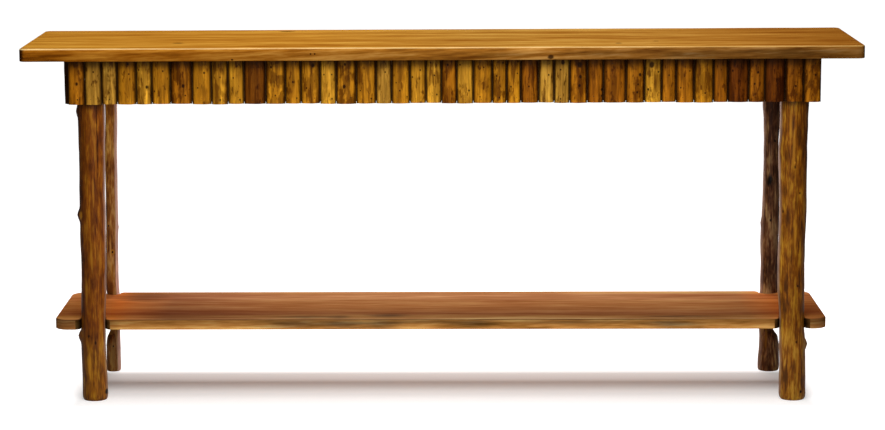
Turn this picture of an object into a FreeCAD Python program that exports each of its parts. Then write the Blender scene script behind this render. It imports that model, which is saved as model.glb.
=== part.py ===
import FreeCAD, Part
import math
import os
from collections import namedtuple

Vector = FreeCAD.Vector

# Rustic console table: plank top, half-log apron, four pole legs, notched shelf.
# Millimetres, +X right, +Y to the back, +Z up, origin on the floor at the middle.

# Overall size
table_length = 1838.0
table_depth = 406.0
table_height = 794.0

# Top board
top_thickness = 29.0
top_corner_radius = 12.0
top_upper_edge_bevel = 4.0
top_lower_edge_bevel = 2.5

# Apron frame: four plain boards hidden behind rows of upright half logs
apron_height = 97.0
apron_front_setback = 16.0
apron_end_setback = 91.5
apron_board_thickness = 19.0
apron_board_reveal = 5.0

# Half logs: nailed side by side to the boards, flat side in, fuller at the ends
log_bulge = 13.0
end_log_bulge = 19.0
log_joint_gap = 0.6
log_end_bevel = 3.0
log_flats = 7
front_row_left_overhang = 7.0
front_row_right_overhang = 17.0
log_width_shares = (
    0.97, 0.97, 0.90, 1.10, 0.89, 1.08, 1.24, 1.11, 0.95, 0.92, 1.24,
    1.13, 0.90, 1.10, 0.92, 1.16, 1.13, 0.89, 1.05, 0.92, 0.89, 0.87,
    0.95, 1.08, 0.82, 0.82, 1.00, 0.90, 0.89, 1.00, 0.92, 1.29, 1.05,
    0.98, 0.82, 1.03, 1.11, 0.82, 1.18, 0.92, 1.16, 1.05, 1.00)
end_log_width_shares = (1.06, 0.90, 1.12, 0.97, 1.00, 1.14, 0.86, 1.04, 0.93)
log_bulge_shares = (1.00, 0.90, 0.96, 1.04, 0.88, 0.98, 1.06, 0.93, 1.01, 0.86)
log_shortening_shares = (0.004, 0.013, 0.008, 0.000, 0.016, 0.006, 0.010)

# Shelf
shelf_left_inset = 56.0
shelf_right_inset = 67.0
shelf_side_inset = 44.0
shelf_top_height = 184.0
shelf_thickness = 23.0
shelf_corner_radius = 24.0
shelf_edge_bevel = 3.0
notch_clearance = 0.3
notch_mouth_share = 0.92

# Legs: peeled poles, each with its own taper and crook, set in from the outer
# faces of the apron boards
front_leg_diameter = 54.0
front_leg_side_inset = 34.0
front_leg_row_inset = 32.0
back_left_leg_diameter = 26.0
back_left_leg_side_inset = 41.5
back_right_leg_diameter = 42.0
back_right_leg_side_inset = 50.5
back_leg_row_inset = 28.0
seat_margin = 8.0

# Fastenings: a lag bolt into each leg, a loose tongue at each shelf notch,
# and cleats screwed to the top
bolt_diameter = 8.0
bolt_head_across_flats = 13.0
bolt_head_height = 5.0
bolt_bite = 18.0
bolt_height_share = 0.55
tongue_width = 12.0
tongue_thickness = 7.0
tongue_bite_in_leg = 12.0
tongue_bite_in_shelf = 20.0
cleat_section = 19.0
screw_diameter = 4.5
screw_bite = 16.0
screw_place_shares = (-0.4, 0.4)

# Every cut runs past the surface by this much, and edges this near count as level
overrun = 2.0
flatness = 0.01

# Places worked out from the sizes above
top_underside = table_height - top_thickness
apron_underside = top_underside - apron_height
board_underside = apron_underside + apron_board_reveal
board_height = top_underside - board_underside
board_face_y = table_depth / 2 - apron_front_setback - log_bulge
board_face_x = table_length / 2 - apron_end_setback - end_log_bulge
board_back_y = board_face_y - apron_board_thickness
board_back_x = board_face_x - apron_board_thickness
shelf_underside = shelf_top_height - shelf_thickness
shelf_length = table_length - shelf_left_inset - shelf_right_inset
shelf_depth = table_depth - 2 * shelf_side_inset
shelf_centre_x = (shelf_left_inset - shelf_right_inset) / 2
seat_low = shelf_underside - seat_margin
seat_high = shelf_top_height + seat_margin
front_leg_x = board_face_x - front_leg_side_inset
front_leg_y = front_leg_row_inset - board_face_y
back_leg_y = board_face_y - back_leg_row_inset
back_left_leg_x = back_left_leg_side_inset - board_face_x
back_right_leg_x = board_face_x - back_right_leg_side_inset
cleat_length = 2 * (front_leg_x - front_leg_diameter)

# A pole: its lower stretch runs from the floor to the shelf seat, its upper
# stretch from the seat to the apron, and its head is straight inside the apron.
# A row of a stretch is (share of the stretch, sideways shift, thickness), a seat
# and a head are (sideways shift, thickness), and shifts and thicknesses are
# shares of the leg's diameter. Three rows close together are a swollen knot.
Leg = namedtuple("Leg", "x y diameter lower_shares seat_shares upper_shares head_shares")

legs = {
    "leg_front_left": Leg(
        -front_leg_x, front_leg_y, front_leg_diameter,
        ((0.00, -0.04, 0.91), (0.05, -0.05, 1.05), (0.45, -0.07, 1.02),
         (0.80, -0.09, 1.02), (0.91, -0.12, 1.11)),
        (-0.05, 0.99),
        ((0.12, -0.03, 0.975), (0.44, -0.01, 1.00), (0.465, -0.05, 1.08),
         (0.49, -0.01, 1.01), (0.72, 0.03, 1.025)),
        (0.04, 1.09)),
    "leg_front_right": Leg(
        front_leg_x, front_leg_y, front_leg_diameter,
        ((0.00, 0.09, 0.93), (0.05, 0.10, 1.07), (0.55, 0.11, 0.98),
         (0.68, 0.09, 1.00), (0.79, 0.08, 1.12), (0.90, 0.03, 1.01)),
        (0.015, 1.01),
        ((0.12, 0.00, 0.985), (0.50, 0.035, 0.99), (0.76, -0.01, 1.03),
         (0.80, -0.04, 1.11), (0.835, 0.02, 1.01)),
        (0.01, 1.045)),
    "leg_back_left": Leg(
        back_left_leg_x, back_leg_y, back_left_leg_diameter,
        ((0.00, -0.13, 1.10), (0.05, -0.12, 1.22), (0.48, -0.10, 1.10), (0.64, 0.06, 0.84)),
        (0.10, 0.87),
        ((0.05, -0.05, 0.99), (0.41, 0.06, 0.94), (0.89, 0.18, 0.94)),
        (0.19, 0.96)),
    "leg_back_right": Leg(
        back_right_leg_x, back_leg_y, back_right_leg_diameter,
        ((0.00, 0.01, 1.07), (0.06, 0.02, 1.18), (0.50, 0.01, 1.05), (0.63, -0.14, 0.77)),
        (-0.11, 0.87),
        ((0.05, -0.01, 1.00), (0.24, -0.03, 1.02), (0.43, 0.00, 0.89),
         (0.71, -0.02, 0.81), (0.90, -0.055, 0.95)),
        (-0.06, 0.99)),
}


def edges_at(shape, height):
    """Edges of a shape that lie flat at one height."""
    return [
        edge for edge in shape.Edges
        if abs(edge.BoundBox.ZMin - height) < flatness and edge.BoundBox.ZLength < flatness]


def rounded_plank(length, depth, low, thickness, corner_radius, centre_x):
    """Plank with rounded corners in plan, lying with its underside at low."""
    plank = Part.makeBox(length, depth, thickness, Vector(centre_x - length / 2, -depth / 2, low))
    uprights = [edge for edge in plank.Edges if edge.BoundBox.ZLength > thickness / 2]
    return plank.makeFillet(corner_radius, uprights)


def top_board():
    """The tabletop: one wide plank with eased edges."""
    board = rounded_plank(table_length, table_depth, top_underside, top_thickness, top_corner_radius, 0)
    board = board.makeChamfer(top_upper_edge_bevel, edges_at(board, table_height))
    return board.makeChamfer(top_lower_edge_bevel, edges_at(board, top_underside))


def pole_section(leg, height, shift_share, thickness_share):
    """Round section of a pole at one height."""
    centre = Vector(leg.x + shift_share * leg.diameter, leg.y, height)
    return Part.Wire([Part.Circle(centre, Vector(0, 0, 1), thickness_share * leg.diameter / 2).toShape()])


def pole_rows(leg):
    """All of a pole's sections as (height, shift share, thickness share), floor to top."""
    rows = [(share * seat_low, shift, thick) for share, shift, thick in leg.lower_shares]
    rows += [(seat_low, *leg.seat_shares), (seat_high, *leg.seat_shares)]
    upper_length = apron_underside - seat_high
    rows += [(seat_high + share * upper_length, shift, thick) for share, shift, thick in leg.upper_shares]
    return rows + [(apron_underside, *leg.head_shares), (top_underside, *leg.head_shares)]


def pole(leg):
    """One leg: a tapered, crooked pole with a straight seat for the shelf."""
    return Part.makeLoft([pole_section(leg, *row) for row in pole_rows(leg)], True, True)


def seat_of(leg):
    """Centre and radius of a pole where the shelf grips it."""
    shift, thick = leg.seat_shares
    return Vector(leg.x + shift * leg.diameter, leg.y, shelf_underside), thick * leg.diameter / 2


def apron_cavity(side):
    """Space outside the apron frame's inner faces, which trims a leg's two flats."""
    tall = board_height + overrun
    long_side = Part.makeBox(table_length, table_depth, tall)
    row_y = board_back_y if side.y > 0 else -board_back_y - table_depth
    end_x = board_back_x if side.x > 0 else -board_back_x - table_length
    back = long_side.translated(Vector(-table_length / 2, row_y, board_underside))
    end = long_side.translated(Vector(end_x, -table_depth / 2, board_underside))
    return [back, end]


def notch_cutter(leg):
    """U-shaped notch that opens at the shelf's edge with a rounded mouth."""
    centre, radius = seat_of(leg)
    half = radius + notch_clearance
    out = 1 if leg.y > 0 else -1
    edge = out * shelf_depth / 2
    mouth = notch_mouth_share * abs(edge - leg.y)
    turn = mouth * (1 - math.sqrt(0.5))
    left = centre.x - half
    right = centre.x + half
    points = {
        "mouth_left": Vector(left - mouth, edge, 0),
        "bend_left": Vector(left - turn, edge - out * turn, 0),
        "wall_left": Vector(left, edge - out * mouth, 0),
        "foot_left": Vector(left, leg.y, 0),
        "bottom": Vector(centre.x, leg.y - out * half, 0),
        "foot_right": Vector(right, leg.y, 0),
        "wall_right": Vector(right, edge - out * mouth, 0),
        "bend_right": Vector(right + turn, edge - out * turn, 0),
        "mouth_right": Vector(right + mouth, edge, 0),
        "far_right": Vector(right + mouth, edge + out * overrun, 0),
        "far_left": Vector(left - mouth, edge + out * overrun, 0),
    }
    outline = Part.Wire([
        Part.Arc(points["mouth_left"], points["bend_left"], points["wall_left"]).toShape(),
        Part.makeLine(points["wall_left"], points["foot_left"]),
        Part.Arc(points["foot_left"], points["bottom"], points["foot_right"]).toShape(),
        Part.makeLine(points["foot_right"], points["wall_right"]),
        Part.Arc(points["wall_right"], points["bend_right"], points["mouth_right"]).toShape(),
        Part.makeLine(points["mouth_right"], points["far_right"]),
        Part.makeLine(points["far_right"], points["far_left"]),
        Part.makeLine(points["far_left"], points["mouth_left"]),
    ])
    depth = shelf_thickness + 2 * overrun
    cutter = Part.Face(outline).extrude(Vector(0, 0, depth))
    return cutter.translated(Vector(0, 0, shelf_underside - overrun))


def shelf_board():
    """The shelf: a plank notched round the four legs, its upper edges eased."""
    plank = rounded_plank(
        shelf_length, shelf_depth, shelf_underside, shelf_thickness, shelf_corner_radius, shelf_centre_x)
    plank = plank.cut([notch_cutter(leg) for leg in legs.values()])
    return plank.makeChamfer(shelf_edge_bevel, edges_at(plank, shelf_top_height))


def apron_boards():
    """The hidden frame: two long boards with the two end boards between them."""
    boards = {}
    for name, out in (("front", -1), ("back", 1)):
        start_y = board_back_y if out > 0 else -board_face_y
        corner = Vector(-board_face_x, start_y, board_underside)
        boards["apron_board_" + name] = Part.makeBox(
            2 * board_face_x, apron_board_thickness, board_height, corner)
    for name, out in (("left", -1), ("right", 1)):
        start_x = board_back_x if out > 0 else -board_face_x
        corner = Vector(start_x, -board_back_y, board_underside)
        boards["apron_board_" + name] = Part.makeBox(
            apron_board_thickness, 2 * board_back_y, board_height, corner)
    return boards


def half_log(start, width, bulge, shortening):
    """A half log standing on the line y = 0, round side towards -Y, its foot bevelled."""
    half = (width - log_joint_gap) / 2
    outline = []
    for step in range(log_flats + 1):
        angle = math.pi * step / log_flats
        outline.append(Vector(start + width / 2 - half * math.cos(angle), -bulge * math.sin(angle), 0))
    low = apron_underside + shortening
    log = Part.Face(Part.makePolygon(outline + outline[:1])).extrude(Vector(0, 0, top_underside - low))
    log.translate(Vector(0, 0, low))
    outside = -bulge - overrun
    bevel = Part.makePolygon([
        Vector(start, outside, low + log_end_bevel + overrun),
        Vector(start, outside, low - overrun),
        Vector(start, -bulge + log_end_bevel + overrun, low - overrun),
        Vector(start, outside, low + log_end_bevel + overrun)])
    return log.cut(Part.Face(bevel).extrude(Vector(width, 0, 0)))


def log_row(length, width_shares, full_bulge, first):
    """Half logs side by side from x = 0 to length, as a list."""
    unit = length / sum(width_shares)
    row = []
    start = 0
    for number, share in enumerate(width_shares):
        bulge = full_bulge * log_bulge_shares[(number + first) % len(log_bulge_shares)]
        cut = apron_height * log_shortening_shares[(number * 3 + first) % len(log_shortening_shares)]
        row.append(half_log(start, share * unit, bulge, cut))
        start += share * unit
    return row


def placed(shape, angle, origin):
    """A row's log turned about the vertical and moved to its board."""
    moved = shape.copy()
    moved.rotate(Vector(0, 0, 0), Vector(0, 0, 1), angle)
    moved.translate(origin)
    return moved


def front_logs():
    """The front row, one piece each, and the same row turned round for the back."""
    start = -board_face_x - front_row_left_overhang
    length = board_face_x + front_row_right_overhang - start
    row = log_row(length, log_width_shares, log_bulge, 0)
    front = [placed(log, 0, Vector(start, -board_face_y, 0)) for log in row]
    back = [placed(log, 180, Vector(-start, board_face_y, 0)) for log in row]
    return front, back


def end_logs():
    """The two end rows, between the planes of the front and back boards' faces."""
    row = log_row(2 * board_face_y, end_log_width_shares, end_log_bulge, 4)
    left = [placed(log, 270, Vector(-board_face_x, board_face_y, 0)) for log in row]
    right = [placed(log, 90, Vector(board_face_x, -board_face_y, 0)) for log in row]
    return left, right


def leg_bolts():
    """A lag bolt through the long board into each leg, its hex head let into the board."""
    height = board_underside + bolt_height_share * board_height
    reach = bolt_head_across_flats / math.sqrt(3)
    corner_angles = [math.radians(60 * corner) for corner in range(7)]
    bolts = []
    for leg in legs.values():
        out = 1 if leg.y > 0 else -1
        face = Vector(leg.x + leg.head_shares[0] * leg.diameter, out * board_face_y, height)
        inward = Vector(0, -out, 0)
        corners = [
            face + Vector(math.cos(angle) * reach, 0, math.sin(angle) * reach) for angle in corner_angles]
        head = Part.Face(Part.makePolygon(corners)).extrude(inward * bolt_head_height)
        shank = Part.makeCylinder(bolt_diameter / 2, apron_board_thickness + bolt_bite, face, inward)
        bolts.append(head.fuse(shank).removeSplitter())
    return bolts


def shelf_tongues():
    """A loose wooden tongue from the bottom of each notch into its leg."""
    tongues = []
    for leg in legs.values():
        out = 1 if leg.y > 0 else -1
        centre, radius = seat_of(leg)
        seat_y = leg.y - out * radius
        ends = (seat_y + out * tongue_bite_in_leg, seat_y - out * tongue_bite_in_shelf)
        low = shelf_underside + (shelf_thickness - tongue_thickness) / 2
        tongues.append(Part.makeBox(
            tongue_width, tongue_bite_in_leg + tongue_bite_in_shelf, tongue_thickness,
            Vector(centre.x - tongue_width / 2, min(ends), low)))
    return tongues


def top_cleats():
    """A square strip inside each long board, tight under the top."""
    cleats = []
    for start_y in (-board_back_y, board_back_y - cleat_section):
        cleats.append(Part.makeBox(
            cleat_length, cleat_section, cleat_section,
            Vector(-cleat_length / 2, start_y, top_underside - cleat_section)))
    return cleats


def top_screws():
    """Screws up through the cleats into the top."""
    screws = []
    low = top_underside - cleat_section
    for out in (-1, 1):
        for share in screw_place_shares:
            foot = Vector(share * cleat_length, out * (board_back_y - cleat_section / 2), low)
            screws.append(Part.makeCylinder(screw_diameter / 2, cleat_section + screw_bite, foot))
    return screws


def table():
    """Every piece of the table by name."""
    bolts = leg_bolts()
    tongues = shelf_tongues()
    screws = top_screws()
    pieces = {"top_board": top_board().cut(screws), "shelf_board": shelf_board().cut(tongues)}
    for name, leg in legs.items():
        body = pole(leg).cut(apron_cavity(leg))
        pieces[name] = body.cut(bolts + tongues)
    for name, board in apron_boards().items():
        pieces[name] = board.cut(bolts)
    front, back = front_logs()
    for number, log in enumerate(front, 1):
        pieces["front_log_%02d" % number] = log
    left, right = end_logs()
    pieces["back_logs"] = Part.makeCompound(back)
    pieces["left_end_logs"] = Part.makeCompound(left)
    pieces["right_end_logs"] = Part.makeCompound(right)
    pieces["top_cleats"] = Part.makeCompound([cleat.cut(screws) for cleat in top_cleats()])
    pieces["top_screws"] = Part.makeCompound(screws)
    pieces["leg_bolts"] = Part.makeCompound(bolts)
    pieces["shelf_tongues"] = Part.makeCompound(tongues)
    return pieces


os.makedirs("parts", exist_ok=True)
for name, shape in table().items():
    shape.exportStep("parts/" + name + ".step")
    state = "valid" if shape.isValid() else "not valid"
    print(name, len(shape.Solids), "solids", round(shape.Volume), "mm3", state)
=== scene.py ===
import logging
import math
import random
from collections.abc import Callable
from dataclasses import dataclass, field
from enum import Enum

import bpy
from bpy.types import Material, Node, NodeSocket, NodeTree, Object
from mathutils import Matrix, Vector


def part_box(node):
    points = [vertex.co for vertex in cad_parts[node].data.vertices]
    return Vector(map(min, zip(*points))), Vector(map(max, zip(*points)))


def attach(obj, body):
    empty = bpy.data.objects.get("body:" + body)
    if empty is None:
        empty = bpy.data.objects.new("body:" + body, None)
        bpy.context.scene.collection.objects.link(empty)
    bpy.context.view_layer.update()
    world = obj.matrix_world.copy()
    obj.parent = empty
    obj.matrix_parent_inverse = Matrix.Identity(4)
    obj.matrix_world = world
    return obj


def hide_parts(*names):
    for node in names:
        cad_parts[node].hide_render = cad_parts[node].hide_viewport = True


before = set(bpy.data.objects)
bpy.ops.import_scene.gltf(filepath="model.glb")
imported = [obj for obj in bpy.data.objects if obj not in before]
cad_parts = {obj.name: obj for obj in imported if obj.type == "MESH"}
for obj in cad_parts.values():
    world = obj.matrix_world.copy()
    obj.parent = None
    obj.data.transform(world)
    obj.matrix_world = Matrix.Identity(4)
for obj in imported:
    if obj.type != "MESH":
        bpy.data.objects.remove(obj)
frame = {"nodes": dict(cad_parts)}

LOG = logging.getLogger("hickory_table")
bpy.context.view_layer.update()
MM = 0.001
BODY = "root"
# places closer together than this, in metres, count as one
NEAR = 1e-5
WHITE = (1.0, 1.0, 1.0, 1.0)


# Plain helpers


def linear(hex_colour: str) -> tuple:
    """Turn an sRGB hex colour into linear RGBA.

    Args:
        hex_colour: The colour as "#RRGGBB".

    Returns:
        Four numbers: linear red, green, blue and an alpha of 1.
    """
    channels = []
    for start in (1, 3, 5):
        value = int(hex_colour[start:start + 2], 16) / 255
        channels.append(value / 12.92 if value <= 0.04045 else ((value + 0.055) / 1.055) ** 2.4)
    return (*channels, 1.0)


def add_node(tree: NodeTree, kind: str, inputs: dict, **settings: object) -> Node:
    """Add one node with its settings, its values and its links.

    Args:
        tree: The node tree the node goes into.
        kind: The node's type name.
        inputs: Socket name or number to a value or to the output socket linked to it.
        settings: The node's own properties.

    Returns:
        The new node.
    """
    node = tree.nodes.new(kind)
    for name, value in settings.items():
        setattr(node, name, value)
    for socket, value in inputs.items():
        if isinstance(value, NodeSocket):
            tree.links.new(value, node.inputs[socket])
        else:
            node.inputs[socket].default_value = value
    return node


def set_ramp(node: Node, stops: tuple) -> NodeSocket:
    """Give a colour ramp its stops.

    Args:
        node: The ramp node.
        stops: Pairs of a place from 0 to 1 and a grey level or an RGBA colour.

    Returns:
        The ramp's colour output.
    """
    elements = node.color_ramp.elements
    while len(elements) < len(stops):
        elements.new(0.5)
    for element, (place, colour) in zip(elements, stops):
        element.position = place
        element.color = colour if isinstance(colour, tuple) else (colour, colour, colour, 1.0)
    return node.outputs["Color"]


def new_material(name: str) -> tuple:
    """Start an empty node material with a Principled shader.

    Args:
        name: The material's name.

    Returns:
        The material, its node tree, its shader node and the object coordinates.
    """
    material = bpy.data.materials.new(name)
    material.use_nodes = True
    tree = material.node_tree
    tree.nodes.clear()
    shader = add_node(tree, "ShaderNodeBsdfPrincipled", {})
    add_node(tree, "ShaderNodeOutputMaterial", {"Surface": shader.outputs["BSDF"]})
    return material, tree, shader, add_node(tree, "ShaderNodeTexCoord", {}).outputs["Object"]


def set_surface(tree: NodeTree, shader: Node, colour: NodeSocket, finish: object,
                relief: NodeSocket) -> None:
    """Give a shader its colour, its shine and its relief.

    Args:
        tree: The material's nodes.
        shader: The Principled shader.
        colour: The finished colour.
        finish: The finish, which holds roughness, specular, bump and bump_depth.
        relief: What the bumps follow.
    """
    tree.links.new(colour, shader.inputs["Base Color"])
    shader.inputs["Roughness"].default_value = finish.roughness
    shader.inputs["Specular IOR Level"].default_value = finish.specular
    bumps = add_node(tree, "ShaderNodeBump", {
        "Strength": finish.bump, "Distance": finish.bump_depth * MM, "Height": relief})
    tree.links.new(bumps.outputs["Normal"], shader.inputs["Normal"])


def lay_over(tree: NodeTree, colour: NodeSocket, tint: object, value: NodeSocket, start: float,
             end: float, amount: float = 1.0, blend: str = "MIX") -> NodeSocket:
    """Lay a tint over a colour where a value passes from start to end.

    Args:
        tree: The material's nodes.
        colour: The colour so far.
        tint: A linear RGBA colour or a colour output.
        value: What decides where the tint lies.
        start: The value at which it begins.
        end: The value at which it is full.
        amount: How much of it there is where it is full.
        blend: MIX to cover the colour, MULTIPLY to darken it and keep its grain.

    Returns:
        The colour with the tint in it.
    """
    share = add_node(tree, "ShaderNodeMapRange", {
        "Value": value, "From Min": start, "From Max": end, "To Min": 0.0, "To Max": amount},
        interpolation_type="SMOOTHSTEP")
    mix = add_node(tree, "ShaderNodeMix", {
        0: share.outputs[0], 6: colour, 7: tint}, data_type="RGBA", blend_type=blend)
    return mix.outputs[2]


def name_piece(piece: Object, name: str) -> Object:
    """Give an object and its mesh one name, and return the object."""
    piece.name = name
    piece.data.name = name
    return piece


def cover_with(piece: Object, *materials: Material) -> None:
    """Give a piece these materials and no others."""
    piece.data.materials.clear()
    for material in materials:
        piece.data.materials.append(material)


def deselect() -> None:
    """Leave edit mode and deselect every object."""
    if bpy.context.object and bpy.context.object.mode == "EDIT":
        bpy.ops.object.mode_set(mode="OBJECT")
    bpy.ops.object.select_all(action="DESELECT")


def pick(piece: Object) -> None:
    """Select one object alone and make it active."""
    deselect()
    piece.select_set(True)
    bpy.context.view_layer.objects.active = piece


def edit(piece: Object, mode: str = "VERT") -> None:
    """Open a piece in edit mode with nothing selected.

    Args:
        piece: The object to edit.
        mode: The kind of element that selections pick: VERT, EDGE or FACE.
    """
    pick(piece)
    bpy.ops.object.mode_set(mode="EDIT")
    bpy.ops.mesh.select_mode(type=mode)
    bpy.ops.mesh.select_all(action="DESELECT")


def choose(piece: Object, kind: str, test: Callable[..., bool]) -> None:
    """In edit mode, select the elements that pass a test, and no others.

    Args:
        piece: The object in edit mode.
        kind: "vertices", "edges" or "polygons".
        test: Takes a vertex's place, an edge's two places or a polygon, and says yes or no.
    """
    bpy.ops.mesh.select_all(action="DESELECT")
    bpy.ops.object.mode_set(mode="OBJECT")
    mesh = piece.data
    for element in getattr(mesh, kind):
        if kind == "vertices":
            hit = test(element.co)
        elif kind == "edges":
            hit = test(*(mesh.vertices[i].co for i in element.vertices))
        else:
            hit = test(element)
        element.select = bool(hit)
    bpy.ops.object.mode_set(mode="EDIT")


def keep_rim(piece: Object) -> None:
    """In edit mode, leave selected only the edges where a flat face meets upright sides.

    Args:
        piece: The object in edit mode.
    """
    bpy.ops.object.mode_set(mode="OBJECT")
    mesh = piece.data
    upright = set()
    for face in mesh.polygons:
        if abs(face.normal.z) < 0.5:
            upright.update(tuple(sorted(key)) for key in face.edge_keys)
    for edge in mesh.edges:
        edge.select = edge.select and tuple(sorted(edge.vertices)) in upright
    bpy.ops.object.mode_set(mode="EDIT")


def close_mesh(piece: Object) -> None:
    """Merge doubles, turn the faces outwards and leave edit mode.

    Args:
        piece: The object to close.
    """
    edit(piece)
    bpy.ops.mesh.select_all(action="SELECT")
    bpy.ops.mesh.remove_doubles(threshold=0.00001)
    bpy.ops.mesh.normals_make_consistent(inside=False)
    bpy.ops.object.mode_set(mode="OBJECT")


def settle(piece: Object) -> None:
    """Put an object's place, turn and scale into its mesh."""
    pick(piece)
    bpy.ops.object.transform_apply(location=True, rotation=True, scale=True)


def copy_of(piece: Object, name: str) -> Object:
    """Copy an object with a mesh of its own.

    Args:
        piece: The object to copy.
        name: The copy's name.

    Returns:
        The copy, linked to the scene.
    """
    twin = piece.copy()
    twin.data = piece.data.copy()
    bpy.context.scene.collection.objects.link(twin)
    return name_piece(twin, name)


def join_all(pieces: list, name: str) -> Object:
    """Join several objects into one and name it.

    Args:
        pieces: The objects; the first one takes the others in.
        name: The name of the result.

    Returns:
        The joined object.
    """
    pick(pieces[0])
    for piece in pieces[1:]:
        piece.select_set(True)
    bpy.ops.object.join()
    return name_piece(pieces[0], name)


def solid_block(name: str, low: Vector, high: Vector) -> Object:
    """A box between two corners, the start of a plank.

    Args:
        name: The box's name.
        low: Its lowest corner, in metres.
        high: Its highest corner, in metres.

    Returns:
        The box.
    """
    deselect()
    bpy.ops.mesh.primitive_cube_add(size=1.0, location=(low + high) / 2, scale=high - low)
    block = name_piece(bpy.context.object, name)
    settle(block)
    return block


def is_upright(start: Vector, end: Vector) -> bool:
    """True for an edge between two places that stands upright."""
    return abs(start.z - end.z) > 10 * MM


def at_corner(place: Vector, low: Vector, high: Vector) -> bool:
    """True at one of a box's four upright corners."""
    beside_x = min(place.x - low.x, high.x - place.x)
    beside_y = min(place.y - low.y, high.y - place.y)
    return max(beside_x, beside_y) < NEAR


def choose_level(piece: Object, level: float) -> None:
    """In edit mode, select the edges that lie at one height, in metres."""
    choose(piece, "edges", lambda a, b: max(abs(a.z - level), abs(b.z - level)) < NEAR)


def round_rim(piece: Object, level: float, radius: float, segments: int) -> None:
    """Round a plank's rim at one height.

    Args:
        piece: The plank.
        level: The rim's height, in metres.
        radius: The rounding, in millimetres.
        segments: How many faces the rounding has.
    """
    edit(piece, "EDGE")
    choose_level(piece, level)
    keep_rim(piece)
    bpy.ops.mesh.bevel(offset=radius * MM, segments=segments, affect="EDGES")


def paint_arris(piece: Object, level: float, radius: float) -> None:
    """Mark the rounding under a plank's upper face, where the arris colour is painted.

    Args:
        piece: The plank.
        level: The upper face's height, in metres.
        radius: The rounding, in millimetres.
    """
    margin = 0.2 * MM
    low, high = level - radius * MM + margin, level - margin
    paint(piece, "rim_mask", "FLOAT", [1.0 if low < v.co.z < high else 0.0 for v in piece.data.vertices])


def apply_displace(piece: Object, direction: str, strength: float, lump: float,
                   stretch: float = 1.0, middle: float = 1.0, group: str = "", shift: float = 0.0) -> None:
    """Push a mesh about by soft noise and apply it.

    Args:
        piece: The object to change.
        direction: NORMAL, X, Y or Z.
        strength: The most that a point moves, in metres.
        lump: The size of one lump, in metres.
        stretch: How many times longer a lump is along Z.
        middle: The noise level that stays where it is; 1 only ever moves points inwards.
        group: A vertex group that limits it.
        shift: Moves the noise along X, in metres, so that like pieces differ.
    """
    guide = bpy.data.objects.new("noise_guide", None)
    bpy.context.scene.collection.objects.link(guide)
    guide.location = (shift, 0.0, 0.0)
    guide.scale = (1.0, 1.0, stretch)
    noise = bpy.data.textures.new("noise", "CLOUDS")
    noise.noise_scale = lump
    noise.noise_depth = 1
    bpy.context.view_layer.update()
    pick(piece)
    modifier = piece.modifiers.new("lumps", "DISPLACE")
    modifier.texture = noise
    modifier.texture_coords = "OBJECT"
    modifier.texture_coords_object = guide
    modifier.direction = direction
    modifier.strength = strength
    modifier.mid_level = middle
    modifier.vertex_group = group
    bpy.ops.object.modifier_apply(modifier=modifier.name)
    bpy.data.objects.remove(guide)
    bpy.data.textures.remove(noise)


def smooth(piece: Object, degrees: float = 40.0) -> None:
    """Shade a piece smooth up to an angle between its faces."""
    pick(piece)
    bpy.ops.object.shade_smooth_by_angle(angle=math.radians(degrees))


def paint(piece: Object, name: str, kind: str, values: list) -> None:
    """Store one value for each point of a mesh.

    Args:
        piece: The object.
        name: The attribute's name.
        kind: FLOAT, FLOAT_VECTOR or FLOAT_COLOR.
        values: One entry for each point: a number, three numbers or four numbers.
    """
    layer = piece.data.attributes.new(name, kind, "POINT")
    key = {"FLOAT": "value", "FLOAT_VECTOR": "vector", "FLOAT_COLOR": "color"}[kind]
    flat = values if kind == "FLOAT" else [part for value in values for part in value]
    layer.data.foreach_set(key, flat)


def finish_piece(piece: Object, nodes: tuple = ()) -> None:
    """Let a piece ride on the table and hide the CAD nodes it stands for.

    Args:
        piece: The finished object.
        nodes: Names of the CAD nodes it replaces.
    """
    if nodes:
        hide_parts(*nodes)
    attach(piece, BODY)
    LOG.info("%s: %d faces", piece.name, len(piece.data.polygons))


# Finishes


class Stain(Enum):
    """How one half log took the stain, as its base colour; the last one is painted shade for the corner logs.
    """

    PALE_OLIVE = "#AC7C2A"
    BRIGHT_GOLD = "#C88E26"
    GOLD = "#B87E1C"
    AMBER = "#AC7013"
    AMBER_BROWN = "#9C5E0D"
    BROWN = "#8A4F0A"
    DARK_BROWN = "#683706"
    RED_BROWN = "#5E2D04"
    # painted shade: near black for the front-most end logs, which turn from the light
    CORNER_BLACK = "#2E1604"


@dataclass(frozen=True)
class Mark:
    """A knot, scar, hole or stain at one place on a piece.

    The place and the radii are in millimetres; ragged makes its outline uneven, and
    soft makes it fade more slowly.
    """

    x: float
    z: float
    wide: float = 2.0
    tall: float = 2.0
    strength: float = 0.9
    y: float = 0.0
    deep: float = 25.0
    ragged: float = 0.5
    soft: float = 1.0


def grain(tree: NodeTree, place: NodeSocket, size: tuple, detail: float = 3.0,
          shift: float = 0.0) -> NodeSocket:
    """Noise whose features have a chosen size along each axis.

    Args:
        tree: The material's nodes.
        place: Object coordinates.
        size: Feature size along X, Y and Z in millimetres.
        detail: The noise's detail.
        shift: Moves the pattern, in cells, so that two patterns differ.

    Returns:
        The noise's factor, which spreads about 0.5.
    """
    cells = tuple(0.5 / (length * MM) for length in size)
    scaled = add_node(tree, "ShaderNodeMapping", {
        "Vector": place, "Location": (shift * 7.3, shift * 3.1, shift * 5.7), "Scale": cells})
    noise = add_node(tree, "ShaderNodeTexNoise", {
        "Vector": scaled.outputs[0], "Scale": 1.0, "Detail": detail, "Roughness": 0.6})
    return noise.outputs["Fac"]


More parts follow.
